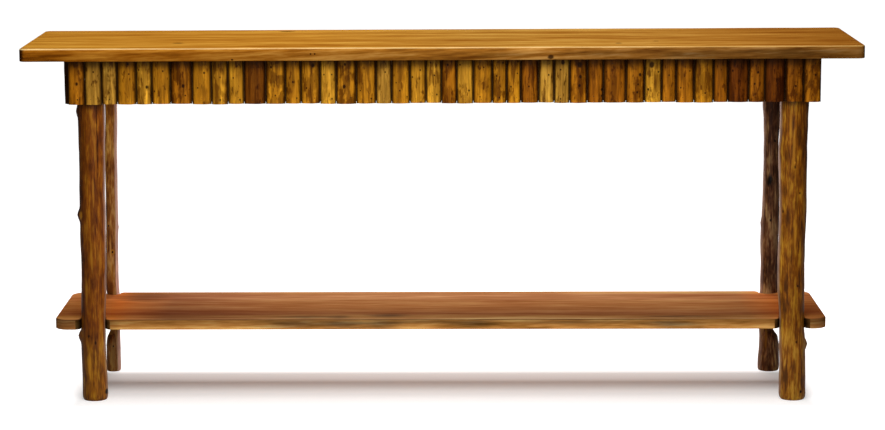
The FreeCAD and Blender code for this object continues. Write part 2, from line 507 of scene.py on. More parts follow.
def shade_along(tree: NodeTree, value: NodeSocket, colour: NodeSocket,
                stops: tuple, unit: float = 1.0) -> NodeSocket:
    """Multiply a colour by shades that follow a value.

    Args:
        tree: The material's nodes.
        value: What the shades follow.
        colour: The colour so far.
        stops: Pairs of a value and a shade, in order; #BCBCBC leaves the colour as it is.
        unit: What the stops' values are multiplied by.

    Returns:
        The shaded colour.
    """
    if not stops:
        return colour
    first, last = stops[0][0], stops[-1][0]
    share = add_node(tree, "ShaderNodeMapRange", {
        "Value": value, "From Min": first * unit, "From Max": last * unit, "To Min": 0.0, "To Max": 1.0})
    shades = []
    for place, shade in stops:
        red, green, blue, _ = linear(shade)
        shades.append(((place - first) / (last - first), (red * 2, green * 2, blue * 2, 1.0)))
    ramp = set_ramp(add_node(tree, "ShaderNodeValToRGB", {0: share.outputs[0]}), tuple(shades))
    mix = add_node(tree, "ShaderNodeMix", {
        0: 1.0, 6: colour, 7: ramp}, data_type="RGBA", blend_type="MULTIPLY")
    return mix.outputs[2]


def blend_marks(tree: NodeTree, place: NodeSocket, colour: NodeSocket,
                marks: tuple, tint: tuple, rough: NodeSocket,
                blend: str = "MIX") -> NodeSocket:
    """Lay soft oval marks over a colour.

    Args:
        tree: The material's nodes.
        place: Object coordinates.
        colour: The colour so far.
        marks: The marks to lay.
        tint: The marks' linear RGBA colour.
        rough: Noise that makes the marks' outlines uneven.
        blend: MIX to cover the colour, MULTIPLY to darken it and keep its grain.

    Returns:
        The colour with the marks in it.
    """
    for mark in marks:
        centre = (mark.x * MM, mark.y * MM, mark.z * MM)
        reach = (1 / (mark.wide * MM), 1 / (mark.deep * MM), 1 / (mark.tall * MM))
        offset = add_node(tree, "ShaderNodeVectorMath", {0: place, 1: centre}, operation="SUBTRACT")
        scaled = add_node(tree, "ShaderNodeVectorMath", {
            0: offset.outputs[0], 1: reach}, operation="MULTIPLY")
        length = add_node(tree, "ShaderNodeVectorMath", {0: scaled.outputs[0]}, operation="LENGTH")
        uneven = add_node(tree, "ShaderNodeMath", {
            0: rough, 1: mark.ragged * 4, 2: length.outputs["Value"]}, operation="MULTIPLY_ADD")
        edge = 0.875 + mark.ragged * 2
        fade = 0.375 * mark.soft
        colour = lay_over(
            tree, colour, tint, uneven.outputs[0], edge + fade, edge - fade, mark.strength, blend)
    return colour


@dataclass(frozen=True)
class HalfLogFinish:
    """Peeled hickory half logs, stained and varnished.

    Peeling with a drawknife leaves long facets and flecks of inner bark, the stain
    gathers in them and along the joints, and the varnish gives a soft shine. Shade is
    also painted along the joints, a shadow under the top and light towards the foot.
    """

    name: str = "varnished_peeled_hickory_half_log"
    streak_size: tuple = (5.5, 5.5, 48.0)
    mottle_size: tuple = (17.0, 17.0, 30.0)
    fleck_size: tuple = (3.6, 3.6, 12.0)
    fibre_size: tuple = (1.9, 1.9, 34.0)
    roughness: float = 0.45
    specular: float = 0.03
    bump: float = 0.6
    bump_depth: float = 1.2
    # painted light: the logs grow lighter towards the foot
    upward: tuple = ((0.0, "#CFCFCF"), (0.3, "#C4C4C4"), (0.6, "#BCBCBC"), (1.0, "#BCBCBC"))

    def material(self) -> Material:
        """Build the material; tone, nature and marks come from each log's attributes.

        Returns:
            The material.
        """
        material, tree, shader, place = new_material(self.name)
        tone = add_node(tree, "ShaderNodeAttribute", {}, attribute_name="tone").outputs["Color"]
        nature, profile = (
            add_node(tree, "ShaderNodeSeparateXYZ", {
                0: add_node(tree, "ShaderNodeAttribute", {}, attribute_name=name).outputs["Vector"]}).outputs
            for name in ("nature", "profile"))
        streaks = grain(tree, place, self.streak_size, 5.0)
        mottle = grain(tree, place, self.mottle_size, 4.0, 1.0)
        flecks = grain(tree, place, self.fleck_size, 2.0, 2.0)
        fibre = grain(tree, place, self.fibre_size, 3.0, 3.0)
        # dark stain in streaks, blotches and flecks, more of it where the log's nature says so
        dark = 0.0
        for pattern, start, end, amount in (
                (streaks, 0.49, 0.58, nature["X"]), (mottle, 0.49, 0.58, nature["Y"]),
                (flecks, 0.58, 0.66, 0.7)):
            level = add_node(tree, "ShaderNodeMapRange", {
                "Value": pattern, "From Min": start, "From Max": end, "To Min": 0.0, "To Max": 1.0},
                interpolation_type="SMOOTHSTEP")
            dark = add_node(tree, "ShaderNodeMath", {
                0: level.outputs[0], 1: amount, 2: dark}, operation="MULTIPLY_ADD", use_clamp=True).outputs[0]
        stained = add_node(tree, "ShaderNodeMix", {
            0: 1.0, 6: tone, 7: (0.30, 0.24, 0.18, 1.0)}, data_type="RGBA", blend_type="MULTIPLY")
        colour = add_node(tree, "ShaderNodeMix", {
            0: dark, 6: tone, 7: stained.outputs[2]}, data_type="RGBA")
        # golden streaks where the peeling went deeper
        bright = add_node(tree, "ShaderNodeMix", {
            0: 1.0, 6: colour.outputs[2], 7: (1.4, 1.5, 1.6, 1.0)}, data_type="RGBA", blend_type="MULTIPLY")
        colour = lay_over(tree, colour.outputs[2], bright.outputs[2], streaks, 0.47, 0.38, 0.8)
        shade = set_ramp(add_node(tree, "ShaderNodeValToRGB", {0: fibre}), ((0.38, 0.72), (0.62, 1.16)))
        colour = add_node(tree, "ShaderNodeMix", {
            0: 1.0, 6: colour, 7: shade}, data_type="RGBA", blend_type="MULTIPLY").outputs[2]
        # darker along the joints, where stain pools and shade is painted, and a painted shadow up under the
        # top with some stain
        side = add_node(tree, "ShaderNodeMath", {0: profile["X"]}, operation="ABSOLUTE").outputs[0]
        for value, start, end, amount in ((side, 0.70, 1.0, 0.92), (profile["Z"], 0.66, 1.02, 0.85)):
            colour = lay_over(tree, colour, linear("#1F0E03"), value, start, end, amount)
        # painted light: lighter towards the foot
        colour = shade_along(tree, profile["Z"], colour, self.upward)
        for number in (1, 2, 3):
            colour = self._log_mark(tree, place, colour, f"mark_{number}")
        relief = add_node(tree, "ShaderNodeMath", {0: streaks, 1: fibre}, operation="ADD")
        set_surface(tree, shader, colour, self, relief.outputs[0])
        return material

    def _log_mark(self, tree: NodeTree, place: NodeSocket,
                  colour: NodeSocket, name: str) -> NodeSocket:
        """Lay one dark mark, whose place and radius are stored with the log.

        Args:
            tree: The material's nodes.
            place: Object coordinates.
            colour: The colour so far.
            name: The attribute that holds x, radius and z.

        Returns:
            The colour with the mark in it.
        """
        stored = add_node(tree, "ShaderNodeAttribute", {}, attribute_name=name).outputs["Vector"]
        offset = add_node(tree, "ShaderNodeVectorMath", {0: place, 1: stored}, operation="SUBTRACT")
        level = add_node(tree, "ShaderNodeVectorMath", {
            0: offset.outputs[0], 1: (1.0, 0.0, 0.75)}, operation="MULTIPLY")
        length = add_node(tree, "ShaderNodeVectorMath", {0: level.outputs[0]}, operation="LENGTH")
        radius = add_node(tree, "ShaderNodeSeparateXYZ", {0: stored}).outputs["Y"]
        ratio = add_node(tree, "ShaderNodeMath", {
            0: length.outputs["Value"], 1: radius}, operation="DIVIDE")
        return lay_over(tree, colour, linear("#1E0D04"), ratio.outputs[0], 1.3, 0.6, 0.92)


@dataclass(frozen=True)
class PoleFinish:
    """A peeled hickory pole, stained dark and varnished.

    Flecks of inner bark stay brown between golden streaks of bare wood. Shade is painted
    on the side that faces the table's end, light and shade along the height, and a pale
    reflection on the front of the inner side.
    """

    name: str
    dark: str
    middle: str
    gold: str
    gold_share: float = 0.5
    inner: int = 1
    # painted shade and light by side: darker on the side that faces the table's end, lighter on the inner
    # side
    sides: tuple = ()
    # painted light and shade along the height, set for each pole, most often a shadow under the apron
    upward: tuple = ()
    # painted reflection: start, end, amount and colour of a pale sheen on the front of the inner side
    pale: tuple = (0.86, 0.99, 0.6, "#A08878")
    spread: float = 0.13
    roughness: float = 0.35
    specular: float = 0.10
    bump: float = 0.5
    bump_depth: float = 1.2
    dark_marks: tuple = ()
    gold_marks: tuple = ()

    def material(self) -> Material:
        """Build the pole's material from its colours and marks.

        Returns:
            The material.
        """
        material, tree, shader, place = new_material(self.name)
        streaks = grain(tree, place, (2.6, 2.6, 42.0), 5.0)
        flecks = grain(tree, place, (2.0, 2.0, 13.0), 3.0, 1.0)
        patches = grain(tree, place, (10.0, 10.0, 32.0), 3.0, 2.0)
        fibre = grain(tree, place, (1.5, 1.5, 36.0), 2.0, 3.0)
        normal = add_node(tree, "ShaderNodeNewGeometry", {}).outputs["Normal"]
        facing = add_node(tree, "ShaderNodeSeparateXYZ", {0: normal})
        inward = add_node(tree, "ShaderNodeMath", {
            0: facing.outputs["X"], 1: float(self.inner)}, operation="MULTIPLY").outputs[0]
        level_z = add_node(tree, "ShaderNodeSeparateXYZ", {0: place}).outputs["Z"]
        both = add_node(tree, "ShaderNodeMath", {0: streaks, 1: flecks}, operation="ADD")
        both = add_node(tree, "ShaderNodeMath", {0: both.outputs[0], 1: 0.5}, operation="MULTIPLY")
        lean = add_node(tree, "ShaderNodeMath", {
            0: patches, 1: 0.8, 2: self.gold_share - 0.9}, operation="MULTIPLY_ADD")
        level = add_node(tree, "ShaderNodeMath", {0: both.outputs[0], 1: lean.outputs[0]}, operation="ADD")
        ramp = add_node(tree, "ShaderNodeValToRGB", {0: level.outputs[0]})
        colour = set_ramp(ramp, (
            (0.5 - self.spread, linear(self.dark)), (0.5, linear(self.middle)),
            (0.5 + self.spread, linear(self.gold))))
        shade = set_ramp(add_node(tree, "ShaderNodeValToRGB", {0: fibre}), ((0.36, 0.70), (0.64, 1.12)))
        mixed = add_node(tree, "ShaderNodeMix", {
            0: 1.0, 6: colour, 7: shade}, data_type="RGBA", blend_type="MULTIPLY")
        # painted shade on the side facing the table's end, painted light on the inner side
        result = shade_along(tree, inward, mixed.outputs[2], self.sides)
        # painted light and shade along the height
        result = shade_along(tree, level_z, result, self.upward, MM)
        result = blend_marks(tree, place, result, self.gold_marks, linear("#B2761E"), flecks)
        # painted reflection: a pale sheen on the front of the inner side, with the fibre grain in it
        start, end, amount, pale = self.pale
        rim_mask = add_node(tree, "ShaderNodeMapRange", {
            "Value": inward, "From Min": start, "From Max": end, "To Min": 0.0, "To Max": amount},
            interpolation_type="SMOOTHSTEP")
        front = add_node(tree, "ShaderNodeMapRange", {
            "Value": facing.outputs["Y"], "From Min": 0.2, "From Max": -0.2, "To Min": 0.0, "To Max": 1.0})
        rim_mask = add_node(tree, "ShaderNodeMath", {
            0: rim_mask.outputs[0], 1: front.outputs[0]}, operation="MULTIPLY")
        # the painted reflection's colour, with the fibre grain in it
        bare = add_node(tree, "ShaderNodeMix", {
            0: 1.0, 6: linear(pale), 7: shade}, data_type="RGBA", blend_type="MULTIPLY")
        rim = add_node(tree, "ShaderNodeMix", {
            0: rim_mask.outputs[0], 6: result, 7: bare.outputs[2]}, data_type="RGBA")
        result = blend_marks(tree, place, rim.outputs[2], self.dark_marks, linear("#120803"), flecks)
        relief = add_node(tree, "ShaderNodeMath", {0: streaks, 1: fibre}, operation="ADD")
        set_surface(tree, shader, result, self, relief.outputs[0])
        return material


@dataclass(frozen=True)
class EndGrainFinish:
    """Sawn end grain: growth rings round the pith, dark where it drinks the stain."""

    name: str
    centre_x: float
    centre_y: float

    def material(self) -> Material:
        """Build the end-grain material round one pole's axis.

        Returns:
            The material.
        """
        material, tree, shader, place = new_material(self.name)
        centred = add_node(tree, "ShaderNodeMapping", {
            "Vector": place, "Location": (-self.centre_x * MM, -self.centre_y * MM, 0.0)})
        rings = add_node(tree, "ShaderNodeTexWave", {
            "Vector": centred.outputs[0], "Scale": 120.0, "Distortion": 1.4, "Detail": 2.0,
            "Detail Scale": 0.6}, wave_type="RINGS", rings_direction="Z")
        colour = set_ramp(add_node(tree, "ShaderNodeValToRGB", {0: rings.outputs["Fac"]}), (
            (0.2, linear("#4A2C12")), (0.8, linear("#7A5226"))))
        tree.links.new(colour, shader.inputs["Base Color"])
        shader.inputs["Roughness"].default_value = 0.7
        return material


@dataclass(frozen=True)
class PlankFinish:
    """A knotty softwood plank, stained golden brown and varnished.

    Growth rings show as long soft streaks on the flat, and as a slightly slanted
    figure along the edges.
    """

    name: str
    dark: str
    middle: str
    light: str
    edge_dark: str
    edge_middle: str
    edge_light: str
    roughness: float = 0.5
    specular: float = 0.01
    bump: float = 0.3
    bump_depth: float = 0.5
    slant: float = 0.045
    flat_bands: tuple = ()
    edge_bands: tuple = ()
    arris_bands: tuple = ()
    wander: float = 40.0
    smoke: tuple = ()
    knots: tuple = ()
    # pale cream by default: on the top plank a painted highlight with some wear
    arris: str = "#EFCB88"
    figure: float = 0.5
    edge_spread: float = 0.13

    def material(self) -> Material:
        """Build the plank's material.

        Returns:
            The material.
        """
        material, tree, shader, place = new_material(self.name)
        normal = add_node(tree, "ShaderNodeNewGeometry", {}).outputs["Normal"]
        upward = add_node(tree, "ShaderNodeSeparateXYZ", {0: normal}).outputs["Z"]
        flat_side = add_node(tree, "ShaderNodeMapRange", {
            "Value": upward, "From Min": 0.45, "From Max": 0.75, "To Min": 0.0, "To Max": 1.0})
        drift = grain(tree, place, (300.0, 60.0, 60.0), 2.0, 4.0)
        broad = grain(tree, place, (360.0, 30.0, 30.0), 4.0)
        narrow = grain(tree, place, (120.0, 12.0, 12.0), 5.0, 1.0)
        fine = grain(tree, place, (45.0, 5.0, 5.0), 3.0, 2.0)
        smear = grain(tree, place, (60.0, 24.0, 4.5), 4.0, 7.0)
        level = add_node(tree, "ShaderNodeMix", {0: 1 - self.figure, 2: narrow, 3: broad}, data_type="FLOAT")
        level = add_node(tree, "ShaderNodeMix", {0: 0.25, 2: level.outputs[0], 3: fine}, data_type="FLOAT")
        tilted = add_node(tree, "ShaderNodeMapping", {"Vector": place, "Rotation": (0.0, self.slant, 0.0)})
        edge_broad = grain(tree, tilted.outputs[0], (130.0, 40.0, 8.0), 4.0, 5.0)
        edge_fine = grain(tree, tilted.outputs[0], (34.0, 20.0, 3.2), 4.0, 6.0)
        edge_level = add_node(tree, "ShaderNodeMix", {0: 0.4, 2: edge_broad, 3: edge_fine}, data_type="FLOAT")
        stops = ((0.38, linear(self.dark)), (0.50, linear(self.middle)), (0.61, linear(self.light)))
        flat_colour = set_ramp(add_node(tree, "ShaderNodeValToRGB", {0: level.outputs[0]}), stops)
        edge_colour = set_ramp(add_node(tree, "ShaderNodeValToRGB", {0: edge_level.outputs[0]}), (
            (0.5 - self.edge_spread, linear(self.edge_dark)), (0.5, linear(self.edge_middle)),
            (0.5 + self.edge_spread, linear(self.edge_light))))
        along = self._along(tree, place, drift)
        for axis, stops in self.flat_bands:
            flat_colour = shade_along(tree, along[axis], flat_colour, stops, MM)
        for axis, stops in self.edge_bands:
            edge_colour = shade_along(tree, along[axis], edge_colour, stops, MM)
        base = add_node(tree, "ShaderNodeMix", {
            0: flat_side.outputs[0], 6: edge_colour, 7: flat_colour}, data_type="RGBA")
        result = blend_marks(
            tree, place, base.outputs[2], self.smoke, linear("#8E9AC0"), smear, "MULTIPLY")
        result = blend_marks(tree, place, result, self.knots, linear("#2A1205"), fine)
        # the arris colour is painted along the upper rounding: on the top a painted highlight with some wear,
        # on the shelf a dark line
        rim_mask = add_node(tree, "ShaderNodeAttribute", {}, attribute_name="rim_mask").outputs["Fac"]
        ragged = add_node(tree, "ShaderNodeMath", {
            0: edge_broad, 1: 1.6, 2: rim_mask}, operation="MULTIPLY_ADD")
        arris_share = add_node(tree, "ShaderNodeMapRange", {
            "Value": ragged.outputs[0], "From Min": 1.3, "From Max": 2.0, "To Min": 0.0, "To Max": 1.0})
        arris = add_node(tree, "ShaderNodeRGB", {})
        arris.outputs[0].default_value = linear(self.arris)
        arris = arris.outputs[0]
        for axis, stops in self.arris_bands:
            arris = shade_along(tree, along[axis], arris, stops, MM)
        final = add_node(tree, "ShaderNodeMix", {
            0: arris_share.outputs[0], 6: result, 7: arris}, data_type="RGBA")
        set_surface(tree, shader, final.outputs[2], self, narrow)
        return material

    def _along(self, tree: NodeTree, place: NodeSocket,
               drift: NodeSocket) -> dict:
        """Split a place into its axes and let X and Y wander a little.

        Args:
            tree: The material's nodes.
            place: Object coordinates.
            drift: Slow noise.

        Returns:
            Axis name to value, in metres.
        """
        parts = add_node(tree, "ShaderNodeSeparateXYZ", {0: place})
        wander = add_node(tree, "ShaderNodeMath", {
            0: drift, 1: self.wander * MM, 2: -self.wander * MM / 2}, operation="MULTIPLY_ADD")
        along = {"Z": parts.outputs["Z"]}
        for axis in ("X", "Y"):
            moved = add_node(tree, "ShaderNodeMath", {0: parts.outputs[axis], 1: wander.outputs[0]})
            along[axis] = moved.outputs[0]
        return along


@dataclass(frozen=True)
class SawnBoardFinish:
    """A sawn softwood board left bare inside the frame: pale, matt, with saw lines."""

    name: str = "sawn_pine_board"
    roughness: float = 0.8
    specular: float = 0.5
    bump: float = 0.3
    bump_depth: float = 0.5

    def material(self) -> Material:
        """Build the sawn-board material.

        Returns:
            The material.
        """
        material, tree, shader, place = new_material(self.name)
        long_way = add_node(tree, "ShaderNodeMapping", {"Vector": place, "Scale": (0.08, 1.0, 1.0)})
        streaks = add_node(tree, "ShaderNodeTexNoise", {
            "Vector": long_way.outputs[0], "Scale": 90.0, "Detail": 4.0, "Roughness": 0.6})
        colour = set_ramp(add_node(tree, "ShaderNodeValToRGB", {0: streaks.outputs["Fac"]}), (
            (0.3, linear("#4A2F17")), (0.7, linear("#6E4A26"))))
        saw = add_node(tree, "ShaderNodeTexNoise", {"Vector": place, "Scale": 500.0, "Detail": 2.0})
        set_surface(tree, shader, colour, self, saw.outputs["Fac"])
        return material


@dataclass(frozen=True)
class SteelFinish:
    """Zinc-plated steel of the lag bolts and screws: grey, a little dull and mottled."""

    name: str = "zinc_plated_steel"
    colour: str = "#A9ABA8"
    metallic: float = 1.0
    roughness: float = 0.4

    def material(self) -> Material:
        """Build the metal.

        Returns:
            The material.
        """
        material, tree, shader, place = new_material(self.name)
        cloud = add_node(tree, "ShaderNodeTexNoise", {"Vector": place, "Scale": 350.0, "Detail": 3.0})
        shade = set_ramp(add_node(tree, "ShaderNodeValToRGB", {0: cloud.outputs["Fac"]}), (
            (0.3, 0.75), (0.7, 1.0)))
        mixed = add_node(tree, "ShaderNodeMix", {
            0: 1.0, 6: shade, 7: linear(self.colour)}, data_type="RGBA", blend_type="MULTIPLY")
        tree.links.new(mixed.outputs[2], shader.inputs["Base Color"])
        shader.inputs["Metallic"].default_value = self.metallic
        shader.inputs["Roughness"].default_value = self.roughness
        return material


# The poles


@dataclass(frozen=True)
class Knot:
    """A swelling on a pole, in millimetres; its side is an angle from +X, in degrees."""

    z: float
    side: float
    out: float
    spread: float


@dataclass
class Pole:
    """One leg: a peeled pole, sizes in millimetres.

    Rings are (height, middle along X, diameter); the pole bends smoothly between them.
    """

    name: str
    node: str
    slot: str
    y: float
    rings: tuple
    seat: tuple
    finish: PoleFinish
    knots: tuple = ()
    sides: int = 48
    step: float = 7.0
    lump: float = 1.6
    lump_grain: float = 16.0
    lump_stretch: float = 2.2
    trim_x: float = 789.5
    trim_y: float = 155.0
    board_low: float = 677.0

    def ring_at(self, height: float) -> tuple:
        """The pole's middle and diameter at a height.

        Args:
            height: Millimetres above the floor.

        Returns:
            The middle along X and the diameter, in millimetres.
        """
        rings = self.rings
        for index in range(len(rings) - 1):
            low, high = rings[index], rings[index + 1]
            if height <= high[0]:
                share = (height - low[0]) / (high[0] - low[0])
                ease = share if low[0] < 12 else share * share * (3 - 2 * share)
                return (low[1] + (high[1] - low[1]) * ease, low[2] + (high[2] - low[2]) * ease)
        return rings[-1][1:]

    def heights(self) -> list:
        """The heights of the extruded rings, close together at the foot.

        Returns:
            The heights in millimetres, from the floor up.
        """
        top = self.rings[-1][0]
        count = round((self.board_low - 12) / self.step)
        body = [12 + (self.board_low - 12) * number / count for number in range(count + 1)]
        return [0.0, 1.2, 3.0, 6.0] + body + [self.board_low + 0.4, top]

    def build(self) -> Object:
        """Extrude the pole ring by ring, raise its knots and trim its head.

        Returns:
            The finished pole.
        """
        deselect()
        middle, diameter = self.ring_at(0.0)
        bpy.ops.mesh.primitive_circle_add(
            vertices=self.sides, radius=diameter / 2 * MM, fill_type="NOTHING",
            location=(middle * MM, self.y * MM, 0.0))
        pole = name_piece(bpy.context.object, self.name)
        settle(pole)
        edit(pole, "EDGE")
        bpy.ops.mesh.select_all(action="SELECT")
        last_height = 0.0
        for height in self.heights()[1:]:
            new_middle, new_diameter = self.ring_at(height)
            bpy.ops.mesh.extrude_region_move(TRANSFORM_OT_translate={
                "value": ((new_middle - middle) * MM, 0.0, (height - last_height) * MM)})
            factor = new_diameter / diameter
            bpy.ops.transform.resize(
                value=(factor, factor, 1.0), center_override=(new_middle * MM, self.y * MM, height * MM))
            middle, diameter, last_height = new_middle, new_diameter, height
        for level in (0.0, last_height * MM):
            choose_level(pole, level)
            bpy.ops.mesh.edge_face_add()
        for knot in self.knots:
            self._raise_knot(pole, knot)
        bpy.ops.object.mode_set(mode="OBJECT")
        foot_x = self.rings[0][1] * MM
        for direction, shift in (("X", foot_x), ("Y", foot_x + 3.0)):
            apply_displace(
                pole, direction, self.lump * MM, self.lump_grain * MM, self.lump_stretch, 0.5, "", shift)
        self._trim_head(pole)
        close_mesh(pole)
        smooth(pole, 50.0)
        return pole

    def _raise_knot(self, pole: Object, knot: Knot) -> None:
        """Pull one point of the skin out with a soft falloff.

        Args:
            pole: The pole, in edit mode.
            knot: Where the swelling is and how large.
        """
        middle, diameter = self.ring_at(knot.z)
        turn = Vector((math.cos(math.radians(knot.side)), math.sin(math.radians(knot.side)), 0.0))
        target = Vector((middle * MM, self.y * MM, knot.z * MM)) + turn * (diameter / 2 * MM)
        bpy.ops.object.mode_set(mode="OBJECT")
        nearest = min(pole.data.vertices, key=lambda vertex: (vertex.co - target).length)
        place = nearest.co.copy()
        bpy.ops.object.mode_set(mode="EDIT")
        bpy.ops.mesh.select_mode(type="VERT")
        choose(pole, "vertices", lambda co: (co - place).length < NEAR)
        bpy.ops.transform.translate(
            value=turn * (knot.out * MM), use_proportional_edit=True,
            proportional_edit_falloff="SMOOTH", proportional_size=knot.spread * MM)

    def _trim_head(self, pole: Object) -> None:
        """Press the head flat where it stands against the frame boards.

        Args:
            pole: The pole to trim.
        """
        side = 1 if self.rings[-1][1] > 0 else -1
        face = 1 if self.y > 0 else -1
        low = (self.board_low + 0.1) * MM
        edge_x = side * self.trim_x * MM
        edge_y = face * self.trim_y * MM
        edit(pole)
        choose(pole, "vertices", lambda co: co.z > low and side * co.x > side * edge_x)
        bpy.ops.transform.resize(value=(0.0, 1.0, 1.0), center_override=(edge_x, 0.0, 0.0))
        choose(pole, "vertices", lambda co: co.z > low and face * co.y > face * edge_y)
        bpy.ops.transform.resize(value=(1.0, 0.0, 1.0), center_override=(0.0, edge_y, 0.0))
        bpy.ops.object.mode_set(mode="OBJECT")

    def dress(self, pole: Object) -> None:
        """Give the pole its skin and its sawn foot and head.

        Args:
            pole: The finished pole.
        """
        end_grain = EndGrainFinish(f"end_grain_{self.name}", self.rings[0][1] + 3, self.y - 2)
        cover_with(pole, self.finish.material(), end_grain.material())
        for face in pole.data.polygons:
            face.material_index = 1 if abs(face.normal.z) > 0.9 else 0
        finish_piece(pole, (self.node,))


